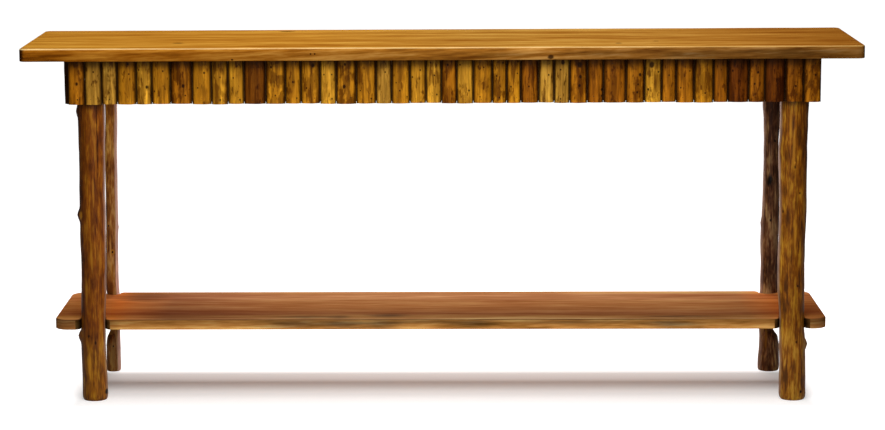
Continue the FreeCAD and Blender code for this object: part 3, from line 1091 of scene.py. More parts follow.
def make_poles() -> list:
    """The four legs as the photograph shows them.

    Returns:
        The front left, front right, back left and back right poles.
    """
    front_left = Pole(
        "peeled_pole_front_left", "leg_front_left", "front_pole", -142.0,
        ((0, -776.7, 50.6), (3, -777.0, 54.1), (9, -777.0, 57.2), (40, -776.4, 55.6), (88, -777.8, 54.8),
         (125, -778.2, 54.9), (154, -777.2, 53.9), (192, -776.9, 54.0), (253, -774.4, 55.4),
         (316, -773.1, 55.7), (361, -773.3, 56.9), (451, -772.8, 57.1), (540, -771.4, 56.9),
         (630, -770.7, 59.6), (672, -770.6, 60.2), (766, -770.6, 60.2)),
        (-777.2, 53.5),
        PoleFinish(
            "varnished_hickory_pole_front_left", "#5A2A0C", "#84440D", "#A8681A", 0.47, 1,
            ((-1, "#828482"), (-0.85, "#909089"), (-0.5, "#AAAD9E"), (0, "#B6B99B"), (0.45, "#BCC0C0"),
            (0.75, "#CBD1E7"), (0.95, "#DAE1F9"), (1, "#E7F3FF")),
            ((0, "#D6F3FF"), (110, "#D3EDFF"), (170, "#BCBCBC"), (640, "#BCBCBC"), (656, "#B3B3B3"),
            (667, "#7C7C7C")), spread=0.18,
            dark_marks=(
                Mark(-756, 580, 1.1, 100, 0.85, -168), Mark(-785, 148, 2.4, 3.0, 0.8, -166),
                Mark(-770, 133, 2.4, 3.2, 0.8, -169), Mark(-750, 19, 3.6, 6.5, 1.0, -155, 25, 0.2)),
            gold_marks=(
                Mark(-797, 420, 3.5, 10, 0.9, -155), Mark(-784, 78, 3.4, 36, 1.0, -166),
                Mark(-761, 566, 2.5, 30, 0.5, -166), Mark(-767, 470, 2.2, 34, 0.5, -169),
                Mark(-774, 320, 2.6, 34, 0.5, -169), Mark(-788, 250, 2.4, 30, 0.4, -164))),
        (Knot(647, 180, 4.0, 18), Knot(415, 180, 5.5, 20), Knot(146, 182, 7.5, 20)))
    front_right = Pole(
        "peeled_pole_front_right", "leg_front_right", "front_pole", -142.0,
        ((0, 779.2, 51.6), (3, 779.0, 56.0), (9, 779.1, 60.2), (40, 778.8, 58.6), (86, 778.7, 57.0),
         (140, 776.8, 57.0), (159, 775.5, 55.4), (192, 775.1, 55.4), (249, 772.8, 59.0),
         (313, 771.9, 58.8), (429, 773.9, 59.3), (535, 771.7, 61.6), (580, 772.1, 61.4),
         (624, 772.4, 61.2), (655, 772.6, 62.4), (672, 772.7, 62.4), (766, 772.7, 62.4)),
        (775.3, 54.5),
        PoleFinish(
            "varnished_hickory_pole_front_right", "#542E09", "#864C0C", "#B27C20", 0.50, -1,
            ((-1, "#898995"), (-0.85, "#9E9BA0"), (-0.4, "#B7B3A5"), (0, "#B1AFA5"), (0.3, "#B8B6AA"),
            (0.7, "#C2C5CB"), (0.93, "#C4CFF9"), (1, "#E1EDFF")),
            ((0, "#CBD3FF"), (110, "#C8CFFF"), (170, "#BCBCBC"), (645, "#BCBCBC"), (658, "#AEAEAE"),
            (667, "#828282")), spread=0.15,
            dark_marks=(
                Mark(773, 524, 2.0, 5.0, 0.9, -169), Mark(785, 466, 2.4, 4, 0.85, -166),
                Mark(750, 424, 2.4, 4, 0.8, -156), Mark(784, 259, 2.6, 3.6, 0.85, -167),
                Mark(783, 133, 2.4, 3.2, 0.8, -167), Mark(795, 20, 2.6, 4.4, 1.0, -160, 25, 0.2),
                Mark(768, 330, 2.0, 26, 0.5, -169)),
            gold_marks=(
                Mark(770, 560, 3.4, 46, 0.6, -169), Mark(772, 534, 1.8, 3.0, 1.0, -169),
                Mark(762, 620, 3.0, 30, 0.5, -167), Mark(776, 380, 3.0, 44, 0.6, -168),
                Mark(768, 90, 3.0, 24, 0.6, -168), Mark(786, 70, 2.4, 30, 0.6, -168))),
        (Knot(560, 180, 1.6, 34), Knot(122, 0, 6.0, 17), Knot(116, 180, 1.5, 12)))
    back_left = Pole(
        "peeled_pole_back_left", "leg_back_left", "back_pole", 146.0,
        ((0, -770.8, 31.2), (3, -770.8, 33.2), (9, -770.8, 34.4), (25, -770.8, 33.8), (60, -770.6, 33.0),
         (76, -769.8, 31.6), (99, -765.8, 23.0), (125, -765.8, 23.8), (160, -767.0, 27.4),
         (185, -768.2, 29.8), (192, -769.0, 30.6), (206, -769.5, 30.4), (254, -768.8, 28.6),
         (387, -766.5, 28.2), (499, -766.0, 28.3), (616, -763.0, 27.7), (672, -762.7, 28.1),
         (766, -762.7, 28.1)),
        (-768.0, 30.0),
        PoleFinish(
            "varnished_hickory_pole_back_left", "#6E4016", "#A66E30", "#CEA258", 0.50, 1,
            ((-1, "#BDB7B3"), (-0.3, "#C0BAB7"), (0.2, "#B3ACAC"), (0.45, "#ACA5A8"), (0.7, "#C4C8DA"),
            (1, "#F9F9FF")),
            ((0, "#AEAEAE"), (90, "#9B9B9B"), (150, "#9E9E9E"), (200, "#BCBCBC"), (400, "#C0BCB7"),
            (540, "#E1DDC0"), (640, "#F3EDC4")),
            (0.50, 0.82, 0.85, "#FFD6C6"),
            dark_marks=(
                Mark(-774, 346, 1.8, 2.8, 1.0, 139), Mark(-766, 284, 2.2, 2.8, 1.0, 134),
                # the mark at 655 mm is a painted shadow under the apron
                Mark(-769, 61, 2.4, 3, 1.0, 132), Mark(-762, 655, 14, 10, 0.6, 134)),
            gold_marks=(
                Mark(-766, 284, 5.0, 6.5, 0.8, 134), Mark(-762, 560, 1.8, 60, 0.4, 134),
                Mark(-768, 240, 2.2, 30, 0.5, 134))),
        (Knot(338, 0, 1.2, 9),), 32, 7.0, 1.0)
    back_right = Pole(
        "peeled_pole_back_right", "leg_back_right", "back_pole", 146.0,
        ((0, 760.2, 45.2), (3, 760.4, 48.4), (9, 760.6, 50.0), (23, 760.6, 49.9), (61, 761.0, 45.4),
         (78, 759.8, 43.4), (97, 753.6, 33.0), (125, 754.0, 34.6), (160, 754.2, 36.8),
         (194, 758.8, 41.2), (251, 759.2, 40.6), (307, 758.0, 42.0), (401, 759.9, 38.6),
         (494, 759.7, 36.1), (533, 758.4, 33.9), (587, 759.0, 37.4), (624, 758.0, 41.4),
         (672, 757.3, 41.0), (766, 757.3, 41.0)),
        (754.2, 37.4),
        PoleFinish(
            "varnished_hickory_pole_back_right", "#3C1D0D", "#683F26", "#946C46", 0.48, -1,
            ((-1, "#959595"), (-0.6, "#AEAEAE"), (0, "#C4C4C4"), (0.5, "#D6DAD3"), (1, "#E1E7E7")),
            ((0, "#EDFCED"), (100, "#E1F3E7"), (180, "#BCC4C4"), (640, "#BCC4C4"), (665, "#A0A0A0")),
            (0.66, 0.92, 0.6, "#B89684"),
            dark_marks=(
                Mark(754, 449, 8.5, 15.0, 1.0, 127, 18, 0.3, 1.5), Mark(765, 540, 3.0, 4, 0.9, 127),
                Mark(757, 356, 3.0, 4, 0.9, 127), Mark(756, 230, 16, 40, 0.5, 127)),
            gold_marks=(Mark(741, 430, 2.2, 70, 0.5, 131), Mark(752, 90, 3.0, 40, 0.5, 124))),
        (Knot(657, 180, 2.5, 12), Knot(578, 0, 2.5, 12), Knot(345, 180, 2.0, 14), Knot(449, 262, 3.0, 16)),
        40, 7.0, 1.4)
    return [front_left, front_right, back_left, back_right]


# The half logs


@dataclass(frozen=True)
class LogLook:
    """How one front half log looks.

    Streaks and mottling go from 0 to 1. Marks are (share across from -1 to 1, share of
    the height from 0 at the foot to 1, radius in millimetres).
    """

    stain: Stain
    streaks: float = 0.5
    mottling: float = 0.4
    marks: tuple = ()


@dataclass(frozen=True)
class LogPlace:
    """Where a half log stands, in metres: its back's middle, its turn, its size, its foot and head."""

    x: float
    y: float
    turn: float
    width: float
    bulge: float
    low: float
    high: float


LOOKS = (
    LogLook(Stain.AMBER_BROWN, 0.6, 0.6, ((0.1, 0.48, 3.0), (0.15, 0.12, 1.6))),
    LogLook(Stain.PALE_OLIVE, 0.3, 0.2, ((0.1, 0.75, 1.8),)),
    LogLook(Stain.PALE_OLIVE, 1.0, 0.7, ((0.05, 0.12, 1.3),)),
    LogLook(Stain.AMBER, 0.3, 0.2, ((0.2, 0.93, 2.2), (0.3, 0.70, 1.7))),
    LogLook(Stain.BRIGHT_GOLD, 0.6, 0.6, ((-0.6, 0.79, 1.6), (0.4, 0.40, 3.0))),
    LogLook(Stain.AMBER, 0.4, 0.3, ((0.25, 0.76, 1.7), (-0.7, 0.30, 1.7))),
    LogLook(Stain.AMBER_BROWN, 0.7, 0.8, ((0.2, 0.42, 3.4), (0.4, 0.20, 1.6))),
    LogLook(Stain.AMBER, 0.3, 0.3, ((0.3, 0.72, 2.2), (-0.4, 0.38, 1.5))),
    LogLook(Stain.GOLD, 0.6, 0.6, ((0.1, 0.62, 1.6), (0.1, 0.11, 1.8))),
    LogLook(Stain.GOLD, 0.3, 0.3, ((0.2, 0.87, 1.6), (-0.3, 0.60, 1.6), (0.5, 0.10, 1.6))),
    LogLook(Stain.DARK_BROWN, 0.5, 0.3),
    LogLook(Stain.AMBER, 0.5, 0.8, ((-0.4, 0.84, 2.2), (0.0, 0.20, 1.7))),
    LogLook(Stain.AMBER, 0.6, 0.5, ((0.0, 0.50, 2.0), (0.5, 0.13, 1.6))),
    LogLook(Stain.AMBER, 0.9, 0.6, ((0.3, 0.88, 3.6), (-0.4, 0.36, 1.7))),
    LogLook(Stain.BRIGHT_GOLD, 0.3, 0.3, ((-0.5, 0.67, 1.7), (0.5, 0.67, 1.6), (0.5, 0.12, 1.7))),
    LogLook(Stain.AMBER, 0.8, 0.9, ((-0.2, 0.40, 3.6), (-0.1, 0.90, 2.6))),
    LogLook(Stain.AMBER, 0.6, 0.4, ((-0.6, 0.30, 1.4), (0.5, 0.12, 1.5))),
    LogLook(Stain.PALE_OLIVE, 0.3, 0.4, ((0.2, 0.72, 1.7),)),
    LogLook(Stain.AMBER, 0.4, 0.3, ((-0.1, 0.30, 1.7), (-0.5, 0.48, 1.4), (0.7, 0.16, 1.4))),
    LogLook(Stain.GOLD, 0.3, 0.4, ((0.3, 0.76, 1.7), (-0.7, 0.60, 1.7))),
    LogLook(Stain.BRIGHT_GOLD, 0.5, 0.5, ((-0.4, 0.93, 1.6), (0.1, 0.64, 1.6), (0.4, 0.20, 1.7))),
    LogLook(Stain.AMBER_BROWN, 0.9, 0.6, ((-0.2, 0.88, 2.2),)),
    LogLook(Stain.BRIGHT_GOLD, 0.3, 0.5, ((-0.6, 0.88, 1.8), (0.5, 0.30, 1.8))),
    LogLook(Stain.AMBER, 0.4, 0.3, ((0.1, 0.82, 1.5), (-0.3, 0.15, 1.5))),
    LogLook(Stain.AMBER, 0.5, 0.8, ((0.5, 0.92, 2.0), (-0.4, 0.62, 1.7), (0.0, 0.13, 1.6))),
    LogLook(Stain.AMBER, 0.9, 0.6, ((0.6, 0.95, 2.0), (0.5, 0.68, 1.6), (-0.4, 0.38, 1.8))),
    LogLook(Stain.BROWN, 0.8, 0.6, ((-0.1, 0.38, 1.8),)),
    LogLook(Stain.PALE_OLIVE, 0.9, 0.5, ((0.3, 0.64, 1.8),)),
    LogLook(Stain.PALE_OLIVE, 0.3, 0.3, ((0.1, 0.93, 4.2), (-0.2, 0.76, 1.6), (-0.2, 0.10, 1.6))),
    LogLook(Stain.AMBER_BROWN, 0.9, 0.6, ((0.1, 0.87, 5.2), (0.2, 0.60, 3.0), (0.1, 0.40, 2.6))),
    LogLook(Stain.BROWN, 0.5, 0.4, ((0.8, 0.30, 2.6), (0.8, 0.16, 2.0))),
    LogLook(Stain.BROWN, 0.6, 0.4),
    LogLook(Stain.AMBER_BROWN, 0.5, 0.7, ((0.5, 0.64, 3.0), (0.2, 0.24, 2.2), (0.3, 0.42, 1.8))),
    LogLook(Stain.BRIGHT_GOLD, 0.4, 0.5, ((-0.2, 0.86, 5.6), (0.6, 0.70, 1.9), (-0.6, 0.30, 2.4))),
    LogLook(Stain.AMBER_BROWN, 0.4, 0.4, ((0.0, 0.62, 1.6),)),
    LogLook(Stain.AMBER_BROWN, 0.5, 0.5, ((0.5, 0.72, 1.6), (-0.5, 0.34, 1.6))),
    LogLook(Stain.AMBER, 0.7, 0.6, ((0.1, 0.22, 1.7),)),
    LogLook(Stain.BROWN, 0.4, 0.7),
    LogLook(Stain.RED_BROWN, 0.7, 0.4, ((-0.6, 0.72, 2.0),)),
    LogLook(Stain.BROWN, 0.5, 0.9, ((0.1, 0.68, 2.2), (-0.3, 0.42, 2.0))),
    LogLook(Stain.RED_BROWN, 0.6, 0.5),
    LogLook(Stain.BROWN, 0.6, 0.8, ((0.1, 0.36, 2.2),)),
    LogLook(Stain.AMBER_BROWN, 0.6, 0.8, ((0.3, 0.62, 2.2),)),
)


@dataclass
class HalfLogs:
    """The four rows of upright half logs round the apron, sizes in millimetres."""

    width: float = 38.0
    bulge: float = 13.0
    end_bulge: float = 19.0
    height: float = 97.0
    foot_round: float = 0.5
    fullness: float = 2.6
    rings: int = 14
    wobble: float = 1.5
    wobble_grain: float = 22.0
    sway: float = 0.5
    sway_grain: float = 30.0
    bark_depth: float = 6.0
    seed: int = 7
    end_width_shares: tuple = (1.06, 0.90, 1.12, 0.97, 1.00, 1.14, 0.86, 1.04, 0.93)
    bulge_shares: tuple = (1.00, 0.90, 0.96, 1.04, 0.88, 0.98, 1.06, 0.93, 1.01, 0.86)
    shortening_shares: tuple = (0.004, 0.013, 0.008, 0.000, 0.016, 0.006, 0.010)
    joint_gap: float = 0.3
    finish: HalfLogFinish = field(default_factory=HalfLogFinish)

    def model(self) -> Object:
        """Model one half log at the origin, standing on Z 0 with its flat back on Y 0.

        Returns:
            The half log that the others are copied from.
        """
        deselect()
        bpy.ops.mesh.primitive_cylinder_add(
            vertices=32, radius=self.width / 2 * MM, depth=self.height * MM, end_fill_type="NGON",
            location=(0.0, 0.0, self.height / 2 * MM))
        log = bpy.context.object
        log.name = "half_log_model"
        settle(log)
        edit(log)
        bpy.ops.mesh.select_all(action="SELECT")
        bpy.ops.mesh.bisect(
            plane_co=(0.0, 0.0, 0.0), plane_no=(0.0, 1.0, 0.0), use_fill=True, clear_outer=True)
        bpy.ops.mesh.select_mode(type="EDGE")
        choose(log, "edges", lambda a, b: abs(a.z - b.z) > 0.001)
        bpy.ops.mesh.subdivide(number_cuts=self.rings)
        bpy.ops.mesh.select_mode(type="VERT")
        half = self.width / 2 * MM
        for step in range(1, 8):
            share = math.cos(step * math.pi / 16)
            fuller = (1 - share ** self.fullness) ** (1 / self.fullness) / math.sqrt(1 - share * share)
            choose(log, "vertices", lambda co: co.y < -NEAR and abs(abs(co.x) - share * half) < NEAR)
            bpy.ops.transform.resize(value=(1.0, fuller, 1.0), center_override=(0.0, 0.0, 0.0))
        bpy.ops.mesh.select_mode(type="EDGE")
        choose(log, "edges", lambda a, b: max(a.z, b.z) < NEAR and min(a.y, b.y) < -NEAR)
        bpy.ops.mesh.bevel(offset=self.foot_round * MM, segments=3, affect="EDGES")
        bpy.ops.object.mode_set(mode="OBJECT")
        log.scale = (1.0, self.bulge / (self.width / 2), 1.0)
        settle(log)
        close_mesh(log)
        paint(log, "profile", "FLOAT_VECTOR", [
            (v.co.x / half, v.co.y / (self.bulge * MM), v.co.z / (self.height * MM))
            for v in log.data.vertices])
        group = log.vertex_groups.new(name="bark_side")
        group.add([v.index for v in log.data.vertices if v.co.y < -self.bark_depth * MM], 1.0, "REPLACE")
        return log

    def front_places(self) -> list:
        """The places of the front row, from its CAD nodes.

        Returns:
            A list of places from left to right.
        """
        places = []
        for number in range(1, len(LOOKS) + 1):
            low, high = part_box(f"front_log_{number:02d}")
            places.append(LogPlace(
                (low[0] + high[0]) / 2, high[1], 0.0, high[0] - low[0], high[1] - low[1], low[2], high[2]))
        return places

    def back_places(self) -> list:
        """The places of the back row: the front row turned round."""
        return [
            LogPlace(-p.x, -p.y, math.pi, p.width, p.bulge, p.low, p.high) for p in self.front_places()]

    def end_places(self, side: int) -> list:
        """The places of an end row.

        Args:
            side: -1 for the left end, 1 for the right end.

        Returns:
            A list of places along the end board.
        """
        node = "left_end_logs" if side < 0 else "right_end_logs"
        low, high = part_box(node)
        reach = max(self.bulge_shares[(n + 4) % 10] for n in range(9)) * self.end_bulge * MM
        face = low[0] + reach if side < 0 else high[0] - reach
        half_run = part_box("apron_board_front")[0][1]
        unit = -2 * half_run / sum(self.end_width_shares)
        top = high[2]
        places = []
        start = half_run
        for number, share in enumerate(self.end_width_shares):
            middle = start + share * unit / 2
            bulge = self.end_bulge * self.bulge_shares[(number + 4) % 10] * MM
            cut = self.height * self.shortening_shares[(number * 3 + 4) % 7] * MM
            places.append(LogPlace(
                face, middle * side, side * math.pi / 2, share * unit - self.joint_gap * MM, bulge,
                top - self.height * MM + cut, top))
            start += share * unit
        return places

    def stand(self, model: Object, name: str, place: LogPlace, look: LogLook) -> Object:
        """Copy the model to one place and give it its own shape and look.

        Args:
            model: The half log to copy.
            name: The copy's name.
            place: Where it stands.
            look: How it looks.

        Returns:
            The half log in its place.
        """
        log = copy_of(model, name)
        log.scale = (
            place.width / (self.width * MM), place.bulge / (self.bulge * MM),
            (place.high - place.low) / (self.height * MM))
        log.rotation_euler = (0.0, 0.0, place.turn)
        log.location = (place.x, place.y, place.low)
        settle(log)
        across = "X" if abs(math.cos(place.turn)) > 0.5 else "Y"
        shift = place.x * 3 + place.y * 5
        apply_displace(
            log, "NORMAL", self.wobble * MM, self.wobble_grain * MM, 1.5, 1.0, "bark_side", shift)
        apply_displace(
            log, across, self.sway * MM, self.sway_grain * MM, 1.0, 0.5, "bark_side", shift + 2.0)
        count = len(log.data.vertices)
        paint(log, "tone", "FLOAT_COLOR", [linear(look.stain.value)] * count)
        paint(log, "nature", "FLOAT_VECTOR", [(look.streaks, look.mottling, 0.0)] * count)
        for number in (1, 2, 3):
            stored = (0.0, 0.0001, -1.0)
            if number <= len(look.marks):
                across_share, up_share, radius = look.marks[number - 1]
                stored = (
                    place.x + across_share * place.width / 2, radius * MM,
                    place.low + up_share * (place.high - place.low))
            paint(log, f"mark_{number}", "FLOAT_VECTOR", [stored] * count)
        smooth(log, 45.0)
        return log

    def build(self) -> list:
        """Build and dress the four rows.

        Returns:
            The forty-three front half logs.
        """
        model = self.model()
        skin = self.finish.material()
        fronts = []
        for number, place in enumerate(self.front_places(), start=1):
            log = self.stand(model, f"peeled_half_log_{number:02d}", place, LOOKS[number - 1])
            cover_with(log, skin)
            finish_piece(log, (f"front_log_{number:02d}",))
            fronts.append(log)
        rng = random.Random(self.seed)
        rows = (
            ("half_logs_back", "back_logs", self.back_places(), False),
            ("half_logs_left_end", "left_end_logs", self.end_places(-1), True),
            ("half_logs_right_end", "right_end_logs", self.end_places(1), True))
        for name, node, places, at_end in rows:
            row = []
            foremost = min(place.y for place in places)
            for index, place in enumerate(places):
                look = rng.choice(LOOKS)
                # the front-most log of each end row gets the painted corner shade
                stain = Stain.CORNER_BLACK if at_end and place.y == foremost else look.stain
                plain = LogLook(stain, look.streaks, look.mottling)
                row.append(self.stand(model, f"{name}_{index}", place, plain))
            joined = join_all(row, name)
            cover_with(joined, skin)
            finish_piece(joined, (node,))
        bpy.data.objects.remove(model)
        return fronts


@dataclass
class Brads:
    """Small dark brad heads, two to a half log, sizes in millimetres."""

    head: float = 2.0
    upper_share: float = 0.86
    lower_share: float = 0.13
    drift_across: float = 0.22
    drift_up: float = 0.05
    flatness: float = 0.6
    sunk: float = 0.35
    seed: int = 11

    def build(self, logs: list) -> Object:
        """Set two brads into each front half log.

        Args:
            logs: The front half logs.

        Returns:
            All brads as one object.
        """
        rng = random.Random(self.seed)
        heads = []
        for log in logs:
            xs = [v.co.x for v in log.data.vertices]
            zs = [v.co.z for v in log.data.vertices]
            middle = (min(xs) + max(xs)) / 2
            width = max(xs) - min(xs)
            for share in (self.upper_share, self.lower_share):
                x = middle + rng.uniform(-self.drift_across, self.drift_across) * width
                up = share + rng.uniform(-self.drift_up, self.drift_up)
                z = min(zs) + up * (max(zs) - min(zs))
                hit, spot, normal, _ = log.ray_cast(Vector((x, -0.3, z)), Vector((0.0, 1.0, 0.0)))
                if hit:
                    heads.append(self._head(spot, normal))
        joined = join_all(heads, "brad_heads")
        settle(joined)
        return joined

    def _head(self, spot: Vector, normal: Vector) -> Object:
        """One domed head, sunk into the wood.

        Args:
            spot: Where the wood's surface is, in metres.
            normal: Where that surface faces.

        Returns:
            The head.
        """
        deselect()
        bpy.ops.mesh.primitive_uv_sphere_add(
            segments=10, ring_count=6, radius=self.head / 2 * MM,
            location=spot - normal * (self.sunk * MM))
        head = bpy.context.object
        head.scale = (1.0, self.flatness, 1.0)
        settle(head)
        return head


# The planks


@dataclass
class TopPlank:
    """The plank top, sizes in millimetres."""

    corner_radius: float = 16.0
    upper_round: float = 4.0
    lower_round: float = 1.6
    cell: float = 22.0
    ripple: float = 0.5
    ripple_grain: float = 90.0
    right_end: float = 20.5
    right_end_short: float = 2.2

    def build(self) -> Object:
        """Shape the plank from a block: round its corners, ease its edges and ripple its faces.

        Returns:
            The finished plank.
        """
        low, high = (Vector(corner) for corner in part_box("top_board"))
        size = high - low
        plank = solid_block("plank_top", low, high)
        edit(plank, "EDGE")
        choose(plank, "edges", lambda a, b: abs(a.x - b.x) > 0.1)
        bpy.ops.mesh.subdivide(number_cuts=round(size.x / (self.cell * MM)))
        choose(plank, "edges", lambda a, b: abs(a.y - b.y) > 0.1)
        bpy.ops.mesh.subdivide(number_cuts=round(size.y / (self.cell * MM)))
        choose(plank, "edges", lambda a, b: is_upright(a, b) and at_corner(a, low, high))
        bpy.ops.mesh.bevel(offset=self.corner_radius * MM, segments=6, affect="EDGES")
        round_rim(plank, high.z, self.upper_round, 4)
        round_rim(plank, low.z, self.lower_round, 2)
        close_mesh(plank)
        paint_arris(plank, high.z, self.upper_round)
        edit(plank)
        choose(plank, "vertices", lambda co: co.x > high.x - self.right_end * MM)
        bpy.ops.transform.translate(value=(-self.right_end_short * MM, 0.0, 0.0))
        bpy.ops.object.mode_set(mode="OBJECT")
        apply_displace(plank, "NORMAL", self.ripple * MM, self.ripple_grain * MM)
        edit(plank)
        choose(plank, "vertices", lambda co: co.z > high.z)
        bpy.ops.transform.resize(value=(1.0, 1.0, 0.0), center_override=(0.0, 0.0, high.z))
        bpy.ops.object.mode_set(mode="OBJECT")
        smooth(plank, 60.0)
        return plank

    def dress(self, plank: Object) -> None:
        """Give the top its varnished plank finish.

        Args:
            plank: The finished plank.
        """
        finish = PlankFinish(
            # the edge colours are darker than the flat's: their own tone, with painted shade on the upright
            # faces
            "varnished_pine_top", "#925410", "#B67C26", "#CE983A", "#5A3006", "#885414", "#AC7A30",
            specular=0.0,
            flat_bands=(("X", (
                (-919, "#BCBAB9"), (-300, "#BABAC0"), (100, "#B4BCE1"), (420, "#B3B7DA"),
                (680, "#A8A2B3"), (919, "#9B9097"))),),
            edge_bands=(
                ("X", ((-919, "#C2B389"), (-500, "#C2BAAA"), (-100, "#C6CBED"), (200, "#C4C8F3"),
                    (620, "#A9B2F9"), (919, "#A9B0ED"))),
                ("Z", ((765, "#979797"), (766.5, "#B7B7B7"), (770, "#BCBCBC"), (781, "#BCBCBC"),
                    (785, "#C4C4C4"), (788, "#D3D3D3"), (790, "#DDDDDD")))),
            # painted highlight: the top's pale arris, with some wear, fades towards the right end
            arris_bands=(("X", ((-919, "#BCBCBC"), (250, "#BCBCBC"), (560, "#A29782"), (919, "#A29782"))),),
            knots=(
                Mark(-581, 794, 14, 6, 0.9, -91, 9), Mark(-357, 794, 20, 6, 0.9, 159, 8),
                Mark(389, 794, 7, 6, 0.85, -133, 7), Mark(473, 794, 7, 6, 0.85, -93, 6),
                Mark(-282.5, 780.2, 2.3, 2.3, 0.95, -203, 8, 0.2),
                Mark(-273.4, 780.2, 2.3, 2.3, 0.95, -203, 8, 0.2),
                Mark(238, 771.4, 7, 5.0, 0.9, -203, 14, 0.3), Mark(-453, 768.5, 2.8, 2.0, 0.9, -203, 8, 0.2),
                # the last two marks darken the rounded ends: dark end grain with painted shade
                Mark(-919, 779, 11, 24, 0.9, -196, 24, 0.4), Mark(919, 779, 6, 24, 0.8, -196, 20, 0.4)),
            smoke=tuple(Mark(*mark, -203, 10, 0.7, 2.0) for mark in (
                (345, 779, 60, 7, 0.45), (560, 775, 70, 8, 0.5), (760, 778, 90, 8, 0.5),
                (130, 777, 60, 6, 0.4))))
        cover_with(plank, finish.material())
        finish_piece(plank, ("top_board",))


